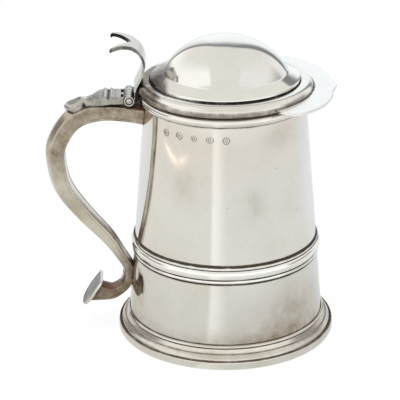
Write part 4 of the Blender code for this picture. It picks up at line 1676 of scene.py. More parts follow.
    def half_width(self, along: float) -> float:
        """Half width of the plate at a distance from its hinge end.

        Args:
            along: The distance.

        Returns:
            The half width.
        """
        narrowing = ease(along, self.block_start + self.block_length, self.neck)
        half = self.plate_width / 2 + (self.neck_width - self.plate_width) / 2 * narrowing
        share = (along - self.neck) / self.drop_length
        if share <= 0:
            return half
        swell = sqrt(max(1 - (2 * share - 1) ** 2, 0.0)) * self.drop_width / 2
        return max(swell, self.neck_width / 2 * (1 - ease(share, 0.0, 0.3)), self.drop_tip_width / 2)

    def thickness(self, along: float, top: float) -> float:
        """Thickness of the plate on its middle line, top being the flat's own thickness.

        Args:
            along: The distance.
            top: Thickness of the flat.

        Returns:
            The thickness.
        """
        block_end = self.block_start + self.block_length
        lift = self.block_lift * ease(along, self.block_start, self.block_start + 0.0006)
        lift *= 1 - ease(along, block_end - 0.0004, block_end + 0.0004)
        fall = ease(along, block_end, self.neck)
        drop = (along - self.neck) / self.drop_length
        if drop <= 0:
            cut = self.groove_depth * self.groove_share(along)
            return top + lift + (self.neck_thickness - top) * fall - cut
        swell = sin(pi * min(drop, 1.0)) ** 0.6
        return self.neck_thickness + (self.drop_thickness - self.neck_thickness) * swell

    def groove_share(self, along: float | Values) -> float | Values:
        """Share of a groove's full depth, below 0 for a reed, at a distance from the hinge end."""
        return sum(deep * bell(along, at, wide) for at, wide, deep in self.grooves)

    def dish_share(self, along: float | Values, across: float | Values) -> float | Values:
        """Share of the hollow in the drop's face, across being a share of its half width."""
        drop = 2 * (along - self.neck) / self.drop_length - 1
        return np.maximum(1 - (across / 0.66) ** 2 - (drop / 0.70) ** 2, 0.0)

    def build_plate(self) -> None:
        """Build and dress the plate with its cross reeds, its neck and its oval drop."""
        rings = []
        handle = self.handle
        flat_top = self.place.z + self.plate_rise
        block_end = self.block_start + self.block_length
        shares = [sin(pi / 2 * k / 12) for k in range(-12, 13)]
        for along, crown, normal, half in self.back_line:
            reach = self.half_width(along)
            top = self.thickness(along, flat_top - crown.z)
            follow = ease(along, block_end, self.neck)
            upper = []
            lower = []
            for share in shares:
                across = share * reach
                bend = min(abs(across) / (half - handle.edge_at(half)), 1.0) ** 2
                bend *= handle.crown_at(half) * follow
                past = max(abs(share) - 0.4, 0.0) / 0.6
                edge = max(abs(share) - 0.93, 0.0) / 0.07
                round_off = 0.0003 * edge * edge + 0.4 * follow * top * past ** 1.6
                round_off += self.dish * float(self.dish_share(along, share)) ** 0.7
                base = crown - normal * (bend + 0.00005) + Vector((0.0, across, 0.0))
                upper.append(base + normal * (top - round_off))
                if follow == 0.0:
                    undercut = self.undercut * ease(abs(share), 0.80, 0.90)
                    undercut *= 1 - ease(along, block_end - 0.004, block_end)
                    base.z = max(base.z, self.place.z - self.plate_foot) + undercut
                lower.append(base)
            toes = [lower[end].lerp(upper[end], self.toe) for end in (-1, 0)]
            rings.append(upper + toes[:1] + lower[::-1] + toes[1:])
        rings[0] = [Vector((self.plate_end, point.y, point.z)) for point in rings[0]]
        plate = self.bench.mesh("hinge_drop_plate", lofted(rings))
        cutters = [self.notch_cutter(plate, index) for index in (1, 3)]
        self.bench.settle(plate, cutters)
        wear_and_shade = (self.plate_smoke_and_shade, self.plate_grime_and_shade)
        self.bench.finish(plate, Finish.PLATE, Body.VESSEL, Slot.HINGE, ["hinge_plate"], *wear_and_shade)

    def along_of(self, at: Surface) -> Values:
        """Distance of each point of the plate from its hinge end, along the handle's back.

        Args:
            at: Corners of the piece.

        Returns:
            One distance for each corner.
        """
        frames = self.back_line
        reach = [-(crown + normal * self.neck_thickness).x for _, crown, normal, _ in frames]
        return np.interp(-at.x, reach, [along for along, _, _, _ in frames])

    def plate_smoke_and_shade(self, at: Surface) -> Values:
        """Grey smoke on the plate's back, held off its reeds so that they show as painted highlights;
        darkening on its sides and in the hollow of its drop.

        Args:
            at: Corners of the piece.

        Returns:
            Share at each corner.
        """
        along = self.along_of(at)
        upward = climb(at.out_z, 0.35, 0.35)
        flat = 0.62 * upward * climb(along, self.neck, -0.002)
        # Painted highlight: no smoke on the reeds.
        flat *= 1 - climb(self.groove_share(along), 0.0, -0.25)
        flat *= np.where(along < 0.0037, 0.6, 1.0)
        flat = np.maximum(flat, 0.56 * climb(np.abs(at.out_y), 0.5, 0.3))
        across = np.abs(at.y) / (self.drop_width / 2)
        hollow = 0.95 * upward * climb(self.dish_share(along, across), 0.0, 1 / 3)
        return np.maximum(flat, hollow)

    def plate_grime_and_shade(self, at: Surface) -> Values:
        """Grime in the cross grooves, and painted shade in the notches and on the undercut of the sides.

        Args:
            at: Corners of the piece.

        Returns:
            Share at each corner.
        """
        upward = climb(at.out_z, 0.2, 0.3)
        grooved = 0.85 * upward * climb(self.groove_share(self.along_of(at)), 0.0, 1.0) ** 1.5
        half = self.knuckle_width / 2 + self.running_gap + 1e-5
        aside = np.minimum.reduce([np.abs(at.y - self.middle(index)) for index in (1, 3)])
        # Painted shade in the notches and under the overhanging sides.
        notched = (at.x > self.plate_end - self.notch - 1e-5) & (aside < half)
        under = 0.85 * climb(at.out_z, -0.12, -0.20)
        return np.maximum.reduce([grooved, notched, under])

    def notch_cutter(self, plate: Object, index: int) -> Object:
        """Cut a notch in the plate's end beside one of the lid's knuckles.

        Args:
            plate: The plate.
            index: Number of the knuckle.

        Returns:
            The cutting block, which goes once the cut is applied.
        """
        half = self.knuckle_width / 2 + self.running_gap
        middle = self.middle(index)
        low = self.place.z - 2 * self.knuckle_radius
        corners = ((self.notch, -half), (self.notch, half), (-self.notch, half), (-self.notch, -half))
        outline = [Vector((self.plate_end + x, middle + y, low)) for x, y in corners]
        block = extruded(outline, Vector((0.0, 0.0, 4 * self.knuckle_radius)))
        cutter = self.bench.mesh(f"notch_block_{index}", block)
        cut = plate.modifiers.new(f"notch_{index}", "BOOLEAN")
        cut.operation = "DIFFERENCE"
        cut.solver = "EXACT"
        cut.object = cutter
        return cutter


def soften(made: Object, width: float, segments: int) -> None:
    """Round the edges of a piece.

    Args:
        made: The piece.
        width: Width of the rounding.
        segments: Facets across it.
    """
    bevel = made.modifiers.new("soft_edges", "BEVEL")
    bevel.width = width
    bevel.segments = segments
    bevel.limit_method = "ANGLE"
    bevel.angle_limit = SHARP


@dataclass
class LidAssembly:
    """Domed lid with its cushion rim, bezel, front peak and forked thumbpiece."""

    drum: Drum
    bench: Bench
    facets: int = 144
    ledge_inset: float = 0.0040
    ledge_rise: float = 0.00203
    flange_slope: float = radians(27)
    crease: float = 0.0020
    skirt_out: float = 0.0007
    skirt_drop: float = 0.0012
    skirt_gap: float = 0.00004
    joint: float = 0.0003
    sweep_width: float = 0.0065
    ball_margin: float = 0.0065
    wall: float = 0.0012
    rim_overhang: float = 0.0040
    rim_height: float = 0.0072
    rim_widest: float = 0.0029
    rim_crown_inset: float = 0.0005
    bezel_depth: float = 0.0035
    bezel_wall: float = 0.0010
    bezel_gap: float = 0.0003
    peak_reach: float = 0.0130
    peak_spread: float = radians(58)
    peak_scallop: float = 0.0016
    peak_scallop_share: float = 0.42
    peak_end_share: float = 0.86
    peak_end_reach: float = 0.0006
    peak_thickness: float = 0.0013
    peak_lift: float = 0.0019
    thumb_height: float = 0.0271
    thumb_width: float = 0.0292
    thumb_thickness: float = 0.0014
    prong_thickness: float = 0.0021
    thumb_foot: float = 0.1449
    thumb_curl: float = 0.0008
    thumb_line: tuple[tuple[float, float, float, float], ...] = (
        (0.000, 0.000, 0.27, 0.0),
        (0.004, 0.067, 0.28, 0.0),
        (0.059, 0.180, 0.29, 0.0),
        (0.129, 0.317, 0.30, 0.0),
        (0.177, 0.479, 0.31, 0.0),
        (0.196, 0.592, 0.32, 0.0),
        (0.155, 0.746, 0.33, 0.0),
        (0.063, 0.873, 0.33, 0.0),
        (-0.073, 0.961, 0.34, 0.0),
        (-0.240, 1.000, 0.40, 0.17),
        (-0.355, 1.000, 0.46, 0.29),
        (-0.432, 0.985, 0.50, 0.37),
    )

    @property
    def rim_radius(self) -> float:
        """Widest radius of the cushion rim."""
        return self.drum.mouth_radius + self.rim_overhang

    @property
    def ledge_radius(self) -> float:
        """Radius at the end of the dome's flange."""
        return self.drum.mouth_radius - self.ledge_inset

    @property
    def bezel_radius(self) -> float:
        """Outer radius of the bezel."""
        return self.drum.mouth_radius - self.drum.wall - self.bezel_gap

    @property
    def rim_top(self) -> float:
        """Height of the rim's crown."""
        return self.drum.lid_seat + self.rim_height

    def build(self) -> None:
        """Build and dress every piece of the lid."""
        dome = turned(self.dome_outline, self.facets)
        rim = turned(self.rim_outline, self.facets)
        bezel = turned(self.bezel_outline, self.facets)
        pieces = (
            ("dome", dome, Finish.POLISHED, "lid_dome", self.dome_painted_reflection, self.skirt_painted_shade),
            ("cushion_rim", rim, Finish.RIM, "lid_rim_moulding", self.rim_smoke_and_shade, self.rim_grime_and_shade),
            ("bezel", bezel, Finish.RIM, "lid_bezel", self.hinge_side_smoke_and_reflection),
            ("front_peak", self.peak(), Finish.PALE, "lid_peak"),
        )
        self.bench.make(pieces, Body.LID, Slot.LID)
        wear_and_shade = (self.thumb_smoke_and_shade, self.thumb_fork_painted_shade)
        thumb = self.thumbpiece()
        self.bench.finish(thumb, Finish.THUMB, Body.LID, Slot.LID, ["thumbpiece"], *wear_and_shade)

    def hinge_side_smoke_and_reflection(self, at: Surface) -> Values:
        """Brown smoke and a painted dark reflection of the handle on the lid beside the hinge."""
        return climb(at.x, -0.0355, -0.004)

    def dome_painted_reflection(self, at: Surface) -> Values:
        """Painted dark reflection of the handle and hinge on the flare of the dome beside the hinge."""
        return climb(at.x, -0.0310, -0.003)

    def rim_smoke_and_shade(self, at: Surface) -> Values:
        """Brown smoke and painted shade from the widest part of the rim down, and the lid's smoke and
        painted reflection beside the hinge.
        """
        under = 0.68 * climb(at.out_z, 0.44, -0.24)
        return np.maximum(under, self.hinge_side_smoke_and_reflection(at))

    def rim_grime_and_shade(self, at: Surface) -> Values:
        """Painted shade low under the swell of the rim, over the gap above the lip, and the skirt's
        painted line where the rim meets it.
        """
        under = 0.50 * climb(at.out_z, -0.70, -0.25)
        return np.maximum(under, self.skirt_painted_shade(at))

    def skirt_painted_shade(self, at: Surface) -> Values:
        """Painted shadow and dark reflection in a line all round the skirt of the dome, strongest at the
        front and right.

        Args:
            at: Corners of the piece.

        Returns:
            Share at each corner.
        """
        radius = np.hypot(at.x, at.y)
        angle = front_angle(at)
        strong = 0.45 + 0.55 * bell(angle, 25.0, 55.0, 4)
        strong += 0.55 * bell(angle, -95.0, 24.0)
        line = bell(radius, self.ledge_radius + 0.0009, 0.0006, 6)
        return strong * line * (np.abs(at.z - self.rim_top + 0.0003) < 0.0013)

    def thumb_smoke_and_shade(self, at: Surface) -> Values:
        """Smoke and painted shade on the cut edges of the thumbpiece, and painted shade under its curl.

        Args:
            at: Corners of the piece.

        Returns:
            Share at each corner.
        """
        upper = np.maximum(climb(at.z, self.thumb_foot + 0.009, 0.008), 0.15)
        edges = 0.80 * upper * climb(np.abs(at.out_y), 0.5, 0.3)
        under = 0.60 * climb(at.out_z, -0.2, -0.5)
        return np.maximum(edges, under)

    def thumb_fork_painted_shade(self, at: Surface) -> Values:
        """Painted shadow on the inner edges of the fork."""
        inward = -np.sign(at.y) * at.out_y
        return 0.95 * climb(inward, 0.4, 0.3)

    def sheet_outline(self, shrink: float, steps: int) -> list[Point]:
        """Points of the dome from its top to its edge, shrunk inwards along its own normal.

        Args:
            shrink: Distance inwards.
            steps: Stretches of the ball.

        Returns:
            Points of (radius, height).
        """
        break_radius = self.ledge_radius - self.sweep_width
        ball_radius = break_radius + self.ball_margin
        break_angle = asin(break_radius / ball_radius)
        slope = self.flange_slope
        crease_x = break_radius + self.crease * sin(break_angle)
        flat = self.sweep_width - self.crease * (sin(break_angle) - sin(slope))
        crease_z = self.rim_top + self.ledge_rise + flat * tan(slope) + self.crease * cos(slope)
        centre = crease_z - (ball_radius + self.crease) * cos(break_angle)
        ball = ball_radius - shrink
        reach = self.crease + shrink
        points = []
        for step in range(steps + 1):
            angle = break_angle * step / steps
            points.append((ball * sin(angle), centre + ball * cos(angle)))
        for step in range(1, steps // 4 + 1):
            angle = break_angle + (slope - break_angle) * 4 * step / steps
            points.append((crease_x - reach * sin(angle), crease_z - reach * cos(angle)))
        start = points[-1]
        end = (start[0] + flat, start[1] - flat * tan(slope))
        return points + divided([start, end], 0.0006)[1:]

    @property
    def dome_outline(self) -> list[Point]:
        """Outline of the raised dome with its turned-down skirt."""
        low = self.rim_top - self.skirt_drop
        edge = self.ledge_radius + self.skirt_out
        outer = self.sheet_outline(0.0, 44)
        inner = self.sheet_outline(self.wall, 24)
        bend = self.skirt_out / (1 - sin(self.flange_slope))
        drop = outer[-1][1] - bend * cos(self.flange_slope)
        turn = arc((edge - bend, drop), (bend, bend), 90 - degrees(self.flange_slope), 0, 7)[1:]
        skirt = divided([turn[-1], (edge, low), (edge - self.wall, low)], 0.0004)[1:]
        hem = (edge - self.wall, inner[-1][1] - self.skirt_out)
        return outer + turn + skirt + [hem] + inner[-2::-1]

    @property
    def rim_outline(self) -> list[Point]:
        """Outline of the hollow cushion rim with the flat that rests on the lip."""
        seat = self.drum.lid_seat
        inside = self.ledge_radius + self.skirt_out + self.skirt_gap
        widest = seat + self.rim_widest
        crown = self.drum.mouth_radius - self.rim_crown_inset
        swell = self.rim_radius - crown
        rise = self.rim_top - widest
        outer = arc((crown, widest), (swell, rise), 90, 0, 24)
        outer += arc((crown, widest), (swell, self.rim_widest), -6, -66, 10)
        edge = arc((outer[-1][0] - 0.0004, seat + 0.0003), (0.0003, 0.0003), 0, -90, 4)
        inner = arc((crown, widest), (swell - self.wall, rise - self.wall), 0, 90, 10)
        flat = self.bezel_radius - self.bezel_wall
        start = [(inside, self.rim_top - 0.0008), (inside + 0.0002, self.rim_top - 0.0003)]
        start += [(inside + 0.0006, self.rim_top), (inside + 0.0010, self.rim_top)]
        floor = seat + self.wall
        under = divided([(flat, seat), (flat, floor), (self.rim_radius - 2 * self.wall, floor)], 0.002)
        return start + outer + edge + under + inner + [(inside, self.rim_top - self.wall)]

    @property
    def bezel_outline(self) -> list[Point]:
        """Outline of the ring that drops inside the mouth."""
        outside = self.bezel_radius
        top = self.drum.lid_seat
        low = top - self.bezel_gap - self.bezel_depth
        half = self.bezel_wall / 2
        inside = outside - self.bezel_wall
        foot = arc((outside - half, low + half), (half, half), 0, -180, 8)
        down = divided([(outside, top), foot[0]], 0.0006)
        back_up = divided([foot[-1], (inside, top)], 0.001)
        return down + foot[1:] + back_up[1:]

    def peak_edge(self, angle: float) -> float:
        """Outer radius of the peak at an angle from the front.

        Args:
            angle: The angle.

        Returns:
            The radius.
        """
        share = abs(angle) / self.peak_spread
        hollow = min(share / self.peak_scallop_share, 1.0)
        span = self.peak_end_share - self.peak_scallop_share
        swell = min(max((share - self.peak_scallop_share) / span, 0.0), 1.0)
        wave = sin(pi * hollow) ** 2 - sin(pi * swell) / 2
        end = max((share - self.peak_end_share) / (1 - self.peak_end_share), 0.0)
        reach = self.peak_reach - self.peak_scallop * wave - self.peak_end_reach
        least = self.rim_radius + self.joint + self.peak_end_reach
        return least + reach * sqrt(max(1 - end * end, 0.0))

    def peak(self) -> Mesh:
        """Flat shaped peak with rounded edges.

        Returns:
            The closed mesh.
        """
        low = self.drum.lid_seat + self.peak_lift
        half = self.peak_thickness / 2
        rings = []
        steps = 120
        for step in range(steps + 1):
            share = 2 * step / steps - 1
            angle = self.peak_spread * sin(pi / 2 * share)
            across = Vector((cos(angle), sin(angle), 0.0))
            inner = self.rim_radius - self.joint
            outer = max(self.peak_edge(angle) - half, inner + 0.0002)
            lower = [(inner + (outer - inner) * k / 6, low) for k in range(7)]
            nose = arc((outer, low + half), (half * 0.7, half), -60, 60, 6)
            upper = [(radius, low + 2 * half) for radius, _ in lower[::-1]]
            section = lower + nose[:3] + nose[4:] + upper
            rings.append([across * radius + Vector((0.0, 0.0, z)) for radius, z in section])
        return lofted(rings)

    @property
    def thumb_rows(self) -> list[tuple[Vector, float, float]]:
        """Rows of the thumbpiece from its foot: middle, half width and half gap of its fork."""
        foot = -(self.rim_radius + self.joint + self.thumb_thickness / 2)
        tall = self.thumb_height
        rows = []
        samples = 8
        for step in range((len(self.thumb_line) - 1) * samples + 1):
            across, up, half, gap = smooth_row(self.thumb_line, step / samples)
            middle = Vector((foot + across * tall, 0.0, self.thumb_foot + up * tall))
            opened = max(gap, 0.0) if step > 8 * samples else 0.0
            crotch = sqrt(opened * opened + 0.16 * opened) if opened > 0.004 else 0.0
            rows.append((middle, half * self.thumb_width, min(crotch, 0.9 * half) * self.thumb_width))
        end, half, gap = rows[-1]
        heading = (end - rows[-2][0]).normalized()
        inward = Vector((heading.z, 0.0, -heading.x))
        if inward.z > 0:
            inward.negate()
        for step in range(1, 7):
            turn = radians(20 * step)
            bend = heading * sin(turn) + inward * (1 - cos(turn))
            narrow = 0.0009 * (step / 6) ** 2
            rows.append((end + bend * self.thumb_curl, half - narrow, gap + narrow))
        return rows

    def thumbpiece(self) -> Object:
        """Curved plate that rises from the hinge, curls back over the handle and forks in two.

        Returns:
            The finished mesh object.
        """
        bm = bmesh.new()
        rows = self.thumb_rows
        columns = 10
        for side in (-1.0, 1.0):
            lines = []
            for middle, half, gap in rows:
                spots = [gap + (half - gap) * k / columns for k in range(columns + 1)]
                lines.append([bm.verts.new(middle + Vector((0.0, side * y, 0.0))) for y in spots])
            for low, high in zip(lines, lines[1:]):
                for i in range(columns):
                    bm.faces.new((low[i], low[i + 1], high[i + 1], high[i]))
        made = self.bench.mesh("thumbpiece_fork", bm)
        thick = made.vertex_groups.new(name="thick")
        for vert in made.data.vertices:
            share = (vert.co.z - self.thumb_foot) / self.thumb_height
            thick.add([vert.index], ease(share, 0.80, 0.98), "REPLACE")
        wall = made.modifiers.new("wall", "SOLIDIFY")
        wall.thickness = self.prong_thickness
        wall.vertex_group = thick.name
        wall.thickness_vertex_group = self.thumb_thickness / self.prong_thickness
        wall.offset = 0.0
        soften(made, 0.0006, 3)
        self.bench.settle(made)
        return made


@dataclass
class Studio:
    """White floor and room: what the lens sees, and what the silver mirrors."""

    axis_x: float
    floor_size: float = 6.0
    floor_drop: float = 0.0002
    floor_white: Colour = (0.92, 0.92, 0.92)
    floor_paint: float = 0.10
    floor_left: Colour = (0.765, 0.755, 0.710)
    floor_right: Colour = (0.745, 0.750, 0.722)
    floor_far: Colour = (1.05, 1.04, 1.01)
    strip_mirrored: Colour = (0.98, 0.98, 0.96)
    room: Colour = (0.845, 0.835, 0.795)
    front: Colour = (1.16, 1.15, 1.12)
    box_left: Colour = (1.09, 1.08, 1.055)
    box_right: Colour = (0.915, 0.91, 0.90)
    flag: Colour = (0.40, 0.38, 0.36)
    fill: Colour = (0.55, 0.55, 0.55)
    backdrop: Colour = (1.0, 1.0, 1.0)
    floor_behind: Colour = (0.78, 0.81, 0.83)
    sweep: Colour = (1.03, 1.08, 1.10)
    sweep_left: Colour = (0.74, 0.73, 0.74)
    sweep_edge: Colour = (0.84, 0.87, 0.89)
    seam: Colour = (0.24, 0.25, 0.26)
    seam_pale: Colour = (0.50, 0.52, 0.55)
    sweep_middle: float = 1.0
    sweep_size: Point = (23.5, 48.0)
    seam_middle: float = 3.5
    seam_size: Point = (26.0, 48.0)
    glint_soft: Colour = (0.90, 0.80, 0.72)
    glint_core: Colour = (1.70, 1.53, 1.38)
    lamp_side: float = 1.4
    lamp_power: float = 12.0
    lamp_place: tuple[float, float, float] = (-0.25, -0.2, 1.3)

    def build(self) -> None:
        """Build the floor, the room and the lamp."""
        self.build_floor()
        self.build_room()
        self.build_lamp()

    def build_floor(self) -> None:
        """Large flat floor under the foot."""
        bm = bmesh.new()
        bmesh.ops.create_circle(bm, cap_ends=True, segments=96, radius=self.floor_size)
        floor = mesh_object("floor", bm)
        floor.location = (0.0, 0.0, -self.floor_drop)
        floor.data.materials.append(self.floor_material())

    def faced(self, graph: Graph, vector: object) -> Outputs:
        """The three values of a vector, turned to the viewer's side.

        Args:
            graph: Graph that is added to.
            vector: Place or direction.

        Returns:
            The values.
        """
        inputs = {"Vector": vector, "Angle": -OBJECT_TURN}
        spun = graph.node("ShaderNodeVectorRotate", inputs, rotation_type="Z_AXIS")
        return graph.parts(spun.outputs[0])

    def bearing(self, graph: Graph, parts: Outputs) -> tuple[Socket, Socket]:
        """Bearing in degrees from the viewer's side, and from the far side, to the right positive.

        Args:
            graph: Graph that is added to.
            parts: Values of the direction.

        Returns:
            Both bearings.
        """
        near = graph.math("ARCTAN2", parts[0], graph.times(parts[1], -1.0))
        far = graph.math("ARCTAN2", parts[0], parts[1])
        return graph.times(near, DEGREE), graph.times(far, DEGREE)

    def floor_material(self) -> Material:
        """White floor that keeps a soft shadow and shows a pale strip to the silver.

        Returns:
            The new material.
        """
        made = bpy.data.materials.new("studio_floor")
        made.use_nodes = True
        graph = Graph(made.node_tree)
        made.node_tree.nodes.clear()
        place = graph.node("ShaderNodeNewGeometry").outputs["Position"]
        inputs = {0: place, 1: (-self.axis_x, 0.0, 0.0)}
        centred = graph.node("ShaderNodeVectorMath", inputs, operation="ADD").outputs[0]
        near, _ = self.bearing(graph, self.faced(graph, centred))
        rise = graph.ramp(near, -18.5, -13.4)
        fade = graph.ramp(near, -13.5, 3.0, 1.0, 0.0)
        strip = graph.times(rise, fade)
        plain = graph.mix(graph.ramp(near, -6.0, 12.0), self.floor_left, self.floor_right)
        away = graph.node("ShaderNodeVectorMath", {0: centred}, operation="LENGTH").outputs["Value"]
        plain = graph.mix(graph.ramp(away, 0.60, 0.85), plain, self.floor_far)
        behind = graph.ramp(graph.math("ABSOLUTE", near), 100.0, 130.0)
        plain = graph.mix(behind, plain, self.floor_behind)
        streaked = graph.mix(strip, plain, self.strip_mirrored)
        streaked = self.glint(graph, near, away, streaked)
        # Painted shadow: the floor that the silver mirrors darkens towards the foot.
        shade = graph.ramp(away, 0.10, 0.27, 0.87, 1.0)
        mirrored = graph.mix(1.0, streaked, graph.grey(shade), "MULTIPLY")
        path = graph.node("ShaderNodeLightPath").outputs
        seen = graph.mix(path["Is Camera Ray"], mirrored, self.floor_white)
        shown = graph.math("MAXIMUM", path["Is Camera Ray"], path["Is Glossy Ray"])
        shown = graph.math("MAXIMUM", shown, path["Is Transmission Ray"])
        glow = graph.node("ShaderNodeEmission", {"Color": seen, "Strength": shown})
        grain = graph.ramp(graph.noise(place, 0.4, 3.0), 0.3, 0.7, 0.97, 1.0)
        paint = graph.times(grain, self.floor_paint)
        matt = graph.node("ShaderNodeBsdfDiffuse", {"Color": graph.grey(paint)})
        both = graph.node("ShaderNodeAddShader", {0: glow.outputs[0], 1: matt.outputs[0]})
        graph.node("ShaderNodeOutputMaterial", {"Surface": both.outputs[0]})
        return made

    def glint(self, graph: Graph, near: object, away: object, under: object) -> Socket:
        """Bent warm streak on the floor to the left, which the wall mirrors under its marks.

        Args:
            graph: Graph that is added to.
            near: Bearing from the viewer's side.
            away: Distance from the axis.
            under: Colour of the floor without it.

        Returns:
            Colour of the floor with it.
        """
        before = graph.math("MAXIMUM", graph.math("SUBTRACT", -71.0, near), 0.0)
        beyond = graph.math("MAXIMUM", graph.math("ADD", near, 64.0), 0.0)
        line = graph.scaled(before, 0.0007, 0.497)
        line = graph.scaled(beyond, 0.0033, line)
        aside = graph.math("ABSOLUTE", graph.math("SUBTRACT", away, line))
        reach = self.patch(graph, near, -84.0, -50.0, 9.0)
        soft = graph.times(reach, graph.ramp(aside, 0.036, 0.006, 0.0, 0.5))
        core = graph.times(reach, graph.ramp(aside, 0.008, 0.003))
        return graph.mix(core, graph.mix(soft, under, self.glint_soft), self.glint_core)

    def patch(self, graph: Graph, value: object, low: float, high: float, soft: float) -> Socket:
        """One inside a range with soft ends, and zero outside it."""
        rise = graph.ramp(value, low - soft, low + soft)
        return graph.times(rise, graph.ramp(value, high - soft, high + soft, 1.0, 0.0))

    def build_room(self) -> None:
        """White to the lens; a warm room with a white sweep behind and soft boxes to the silver."""
        world = bpy.data.worlds.new("studio_room")
        bpy.context.scene.world = world
        world.use_nodes = True
        graph = Graph(world.node_tree)
        world.node_tree.nodes.clear()
        look = graph.node("ShaderNodeTexCoord").outputs["Generated"]
        parts = self.faced(graph, look)
        near, far = self.bearing(graph, parts)
        rise = graph.times(graph.math("ARCSINE", parts[2]), DEGREE)
        ring = self.sweep_ring(graph, far, rise, self.sweep_middle, self.sweep_size)
        outer_ring = self.sweep_ring(graph, far, rise, self.seam_middle, self.seam_size)
        low = graph.ramp(rise, 38.0, 26.0)
        window = graph.times(self.patch(graph, near, -75.0, 80.0, 10.0), low)
        lit = graph.mix(window, self.room, self.front)
        lit = graph.mix(self.soft_box(graph, parts, -1.0), lit, self.box_left)
        lit = graph.mix(self.soft_box(graph, parts, 1.0), lit, self.box_right)
        past = graph.math("MAXIMUM", graph.math("SUBTRACT", -122.0, near), 0.0)
        sloped = graph.ramp(graph.scaled(past, 0.6, rise), 26.0, 20.0)
        left_flag = graph.times(self.patch(graph, near, -155.0, -80.0, 6.0), sloped)
        level = graph.ramp(rise, 36.0, 10.0)
        right_flag = graph.times(self.patch(graph, near, 80.0, 126.0, 8.0), level)
        lit = graph.mix(graph.math("MAXIMUM", left_flag, right_flag), lit, self.flag)
        seam = graph.mix(graph.ramp(ring, 0.75, 1.25), self.seam_pale, self.seam)
        edged = graph.mix(graph.ramp(outer_ring, 1.56, 1.34), lit, seam)
        bright = graph.mix(graph.ramp(far, -10.0, -20.0), self.sweep, self.sweep_left)
        sheet = graph.mix(graph.ramp(ring, 0.60, 0.35), self.sweep_edge, bright)
        mirrored = graph.mix(graph.ramp(ring, 0.80, 0.64), edged, sheet)
        path = graph.node("ShaderNodeLightPath").outputs
        glossy = graph.math("MAXIMUM", path["Is Glossy Ray"], path["Is Transmission Ray"])
        plain = graph.mix(glossy, self.fill, mirrored)
        seen = graph.mix(path["Is Camera Ray"], plain, self.backdrop)
        sky = graph.node("ShaderNodeBackground", {"Color": seen, "Strength": 1.0})
        graph.node("ShaderNodeOutputWorld", {"Surface": sky.outputs[0]})

    def sweep_ring(self, graph: Graph, far: object, rise: object, middle: float, size: Point) -> Socket:
        """Level that is 1 on a rounded border round the white sweep behind, and grows outwards.

        Args:
            graph: Graph of the room.
            far: Bearing from the far side.
            rise: Height in degrees.
            middle: Bearing of the border's middle.
            size: Its half width and its height in degrees.

        Returns:
            The level.
        """
        aside = graph.math("ABSOLUTE", graph.math("SUBTRACT", far, middle))
        across = graph.math("DIVIDE", aside, size[0])
        upward = graph.math("DIVIDE", graph.math("MAXIMUM", rise, 0.0), size[1])
        return graph.math("ADD", graph.math("POWER", across, 3.0), graph.math("POWER", upward, 3.0))

    def soft_box(self, graph: Graph, parts: Outputs, side: float) -> Socket:
        """Share of a leaning soft box on one side of the object, with straight edges.

        Args:
            graph: Graph that is added to.
            parts: Values of the direction.
            side: -1 for the left, 1 for the right.

        Returns:
            The share.
        """
        lean = graph.scaled(parts[1], 0.6, parts[2])
        aside = graph.ramp(graph.times(parts[0], side), 0.335, 0.385)
        tall = graph.times(graph.ramp(lean, 0.38, 0.44), graph.ramp(lean, 1.02, 0.72))
        return graph.times(aside, tall)

    def build_lamp(self) -> None:
        """Wide soft lamp overhead, for the floor's shadow."""
        data = bpy.data.lights.new("overhead", "AREA")
        data.shape = "SQUARE"
        data.size = self.lamp_side
        data.energy = self.lamp_power
        lamp = new_object("overhead", data)
        lamp.location = self.lamp_place
        lamp.rotation_euler = Vector(self.lamp_place).to_track_quat("Z", "Y").to_euler()
        lamp.visible_camera = False
        lamp.visible_glossy = False


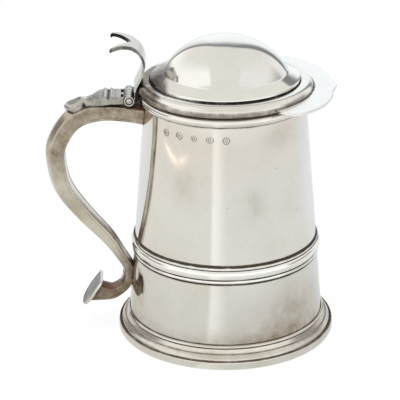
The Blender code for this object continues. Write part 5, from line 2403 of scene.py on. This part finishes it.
@dataclass(frozen=True)
class View:
    """Camera of the catalogue view, given about the drum's axis before the object's small turn."""

    axis_x: float
    place: tuple[float, float, float] = (0.0, -0.984, 0.490)
    pitch: float = radians(22.79)
    yaw: float = radians(-0.84)
    roll: float = radians(-0.42)
    lens: float = 168.67
    sensor: float = 36.0
    nearest: float = 0.05

    def build(self) -> None:
        """Make the camera and give it to the scene."""
        ahead = Vector((
            sin(self.yaw) * cos(self.pitch),
            cos(self.yaw) * cos(self.pitch),
            -sin(self.pitch),
        ))
        right = ahead.cross(Vector((0.0, 0.0, 1.0))).normalized()
        above = right.cross(ahead)
        side = right * cos(self.roll) + above * sin(self.roll)
        top = above * cos(self.roll) - right * sin(self.roll)
        rows = Matrix((side, top, -ahead)).transposed().to_4x4()
        rows.translation = Vector(self.place)
        turned_about = Matrix.Rotation(OBJECT_TURN, 4, "Z")
        turned_about.translation = (self.axis_x, 0.0, 0.0)
        data = bpy.data.cameras.new("catalogue_view")
        data.sensor_fit = "HORIZONTAL"
        data.sensor_width = self.sensor
        data.lens = self.lens
        data.clip_start = self.nearest
        camera = new_object("catalogue_view", data)
        camera.matrix_world = turned_about @ rows
        bpy.context.scene.camera = camera


def centre(node: str) -> Vector:
    """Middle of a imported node's box."""
    low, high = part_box(node)
    return (low + high) / 2


def main() -> None:
    """Build the studio, the camera and every piece of the tankard."""
    logging.basicConfig(level=logging.INFO, format="%(name)s %(message)s")
    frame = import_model()
    LOG.info("%d packed nodes", len(frame["nodes"]))
    scene = bpy.context.scene
    scene.view_settings.view_transform = "Standard"
    axis_x = centre("body_drum").x
    hinge = centre("hinge_pin") - Vector((axis_x, 0.0, 0.0))
    View(axis_x).build()
    Studio(axis_x).build()
    drum = Drum()
    bench = Bench(axis_x)
    BodyAssembly(drum, bench).build()
    PunchMarks(drum, bench).build()
    clear = hinge.z - HingeAssembly.knuckle_radius - HingeAssembly.running_gap
    arm_depth = HandleAssembly.line[2][2] * HandleAssembly.depth
    handle = HandleAssembly(drum, bench, clear - arm_depth)
    handle.build()
    HingeAssembly(bench, handle, hinge).build()
    LidAssembly(drum, bench).build()
    Patina().spread(bench)
    bench.mount()


if __name__ == "__main__":
    main()
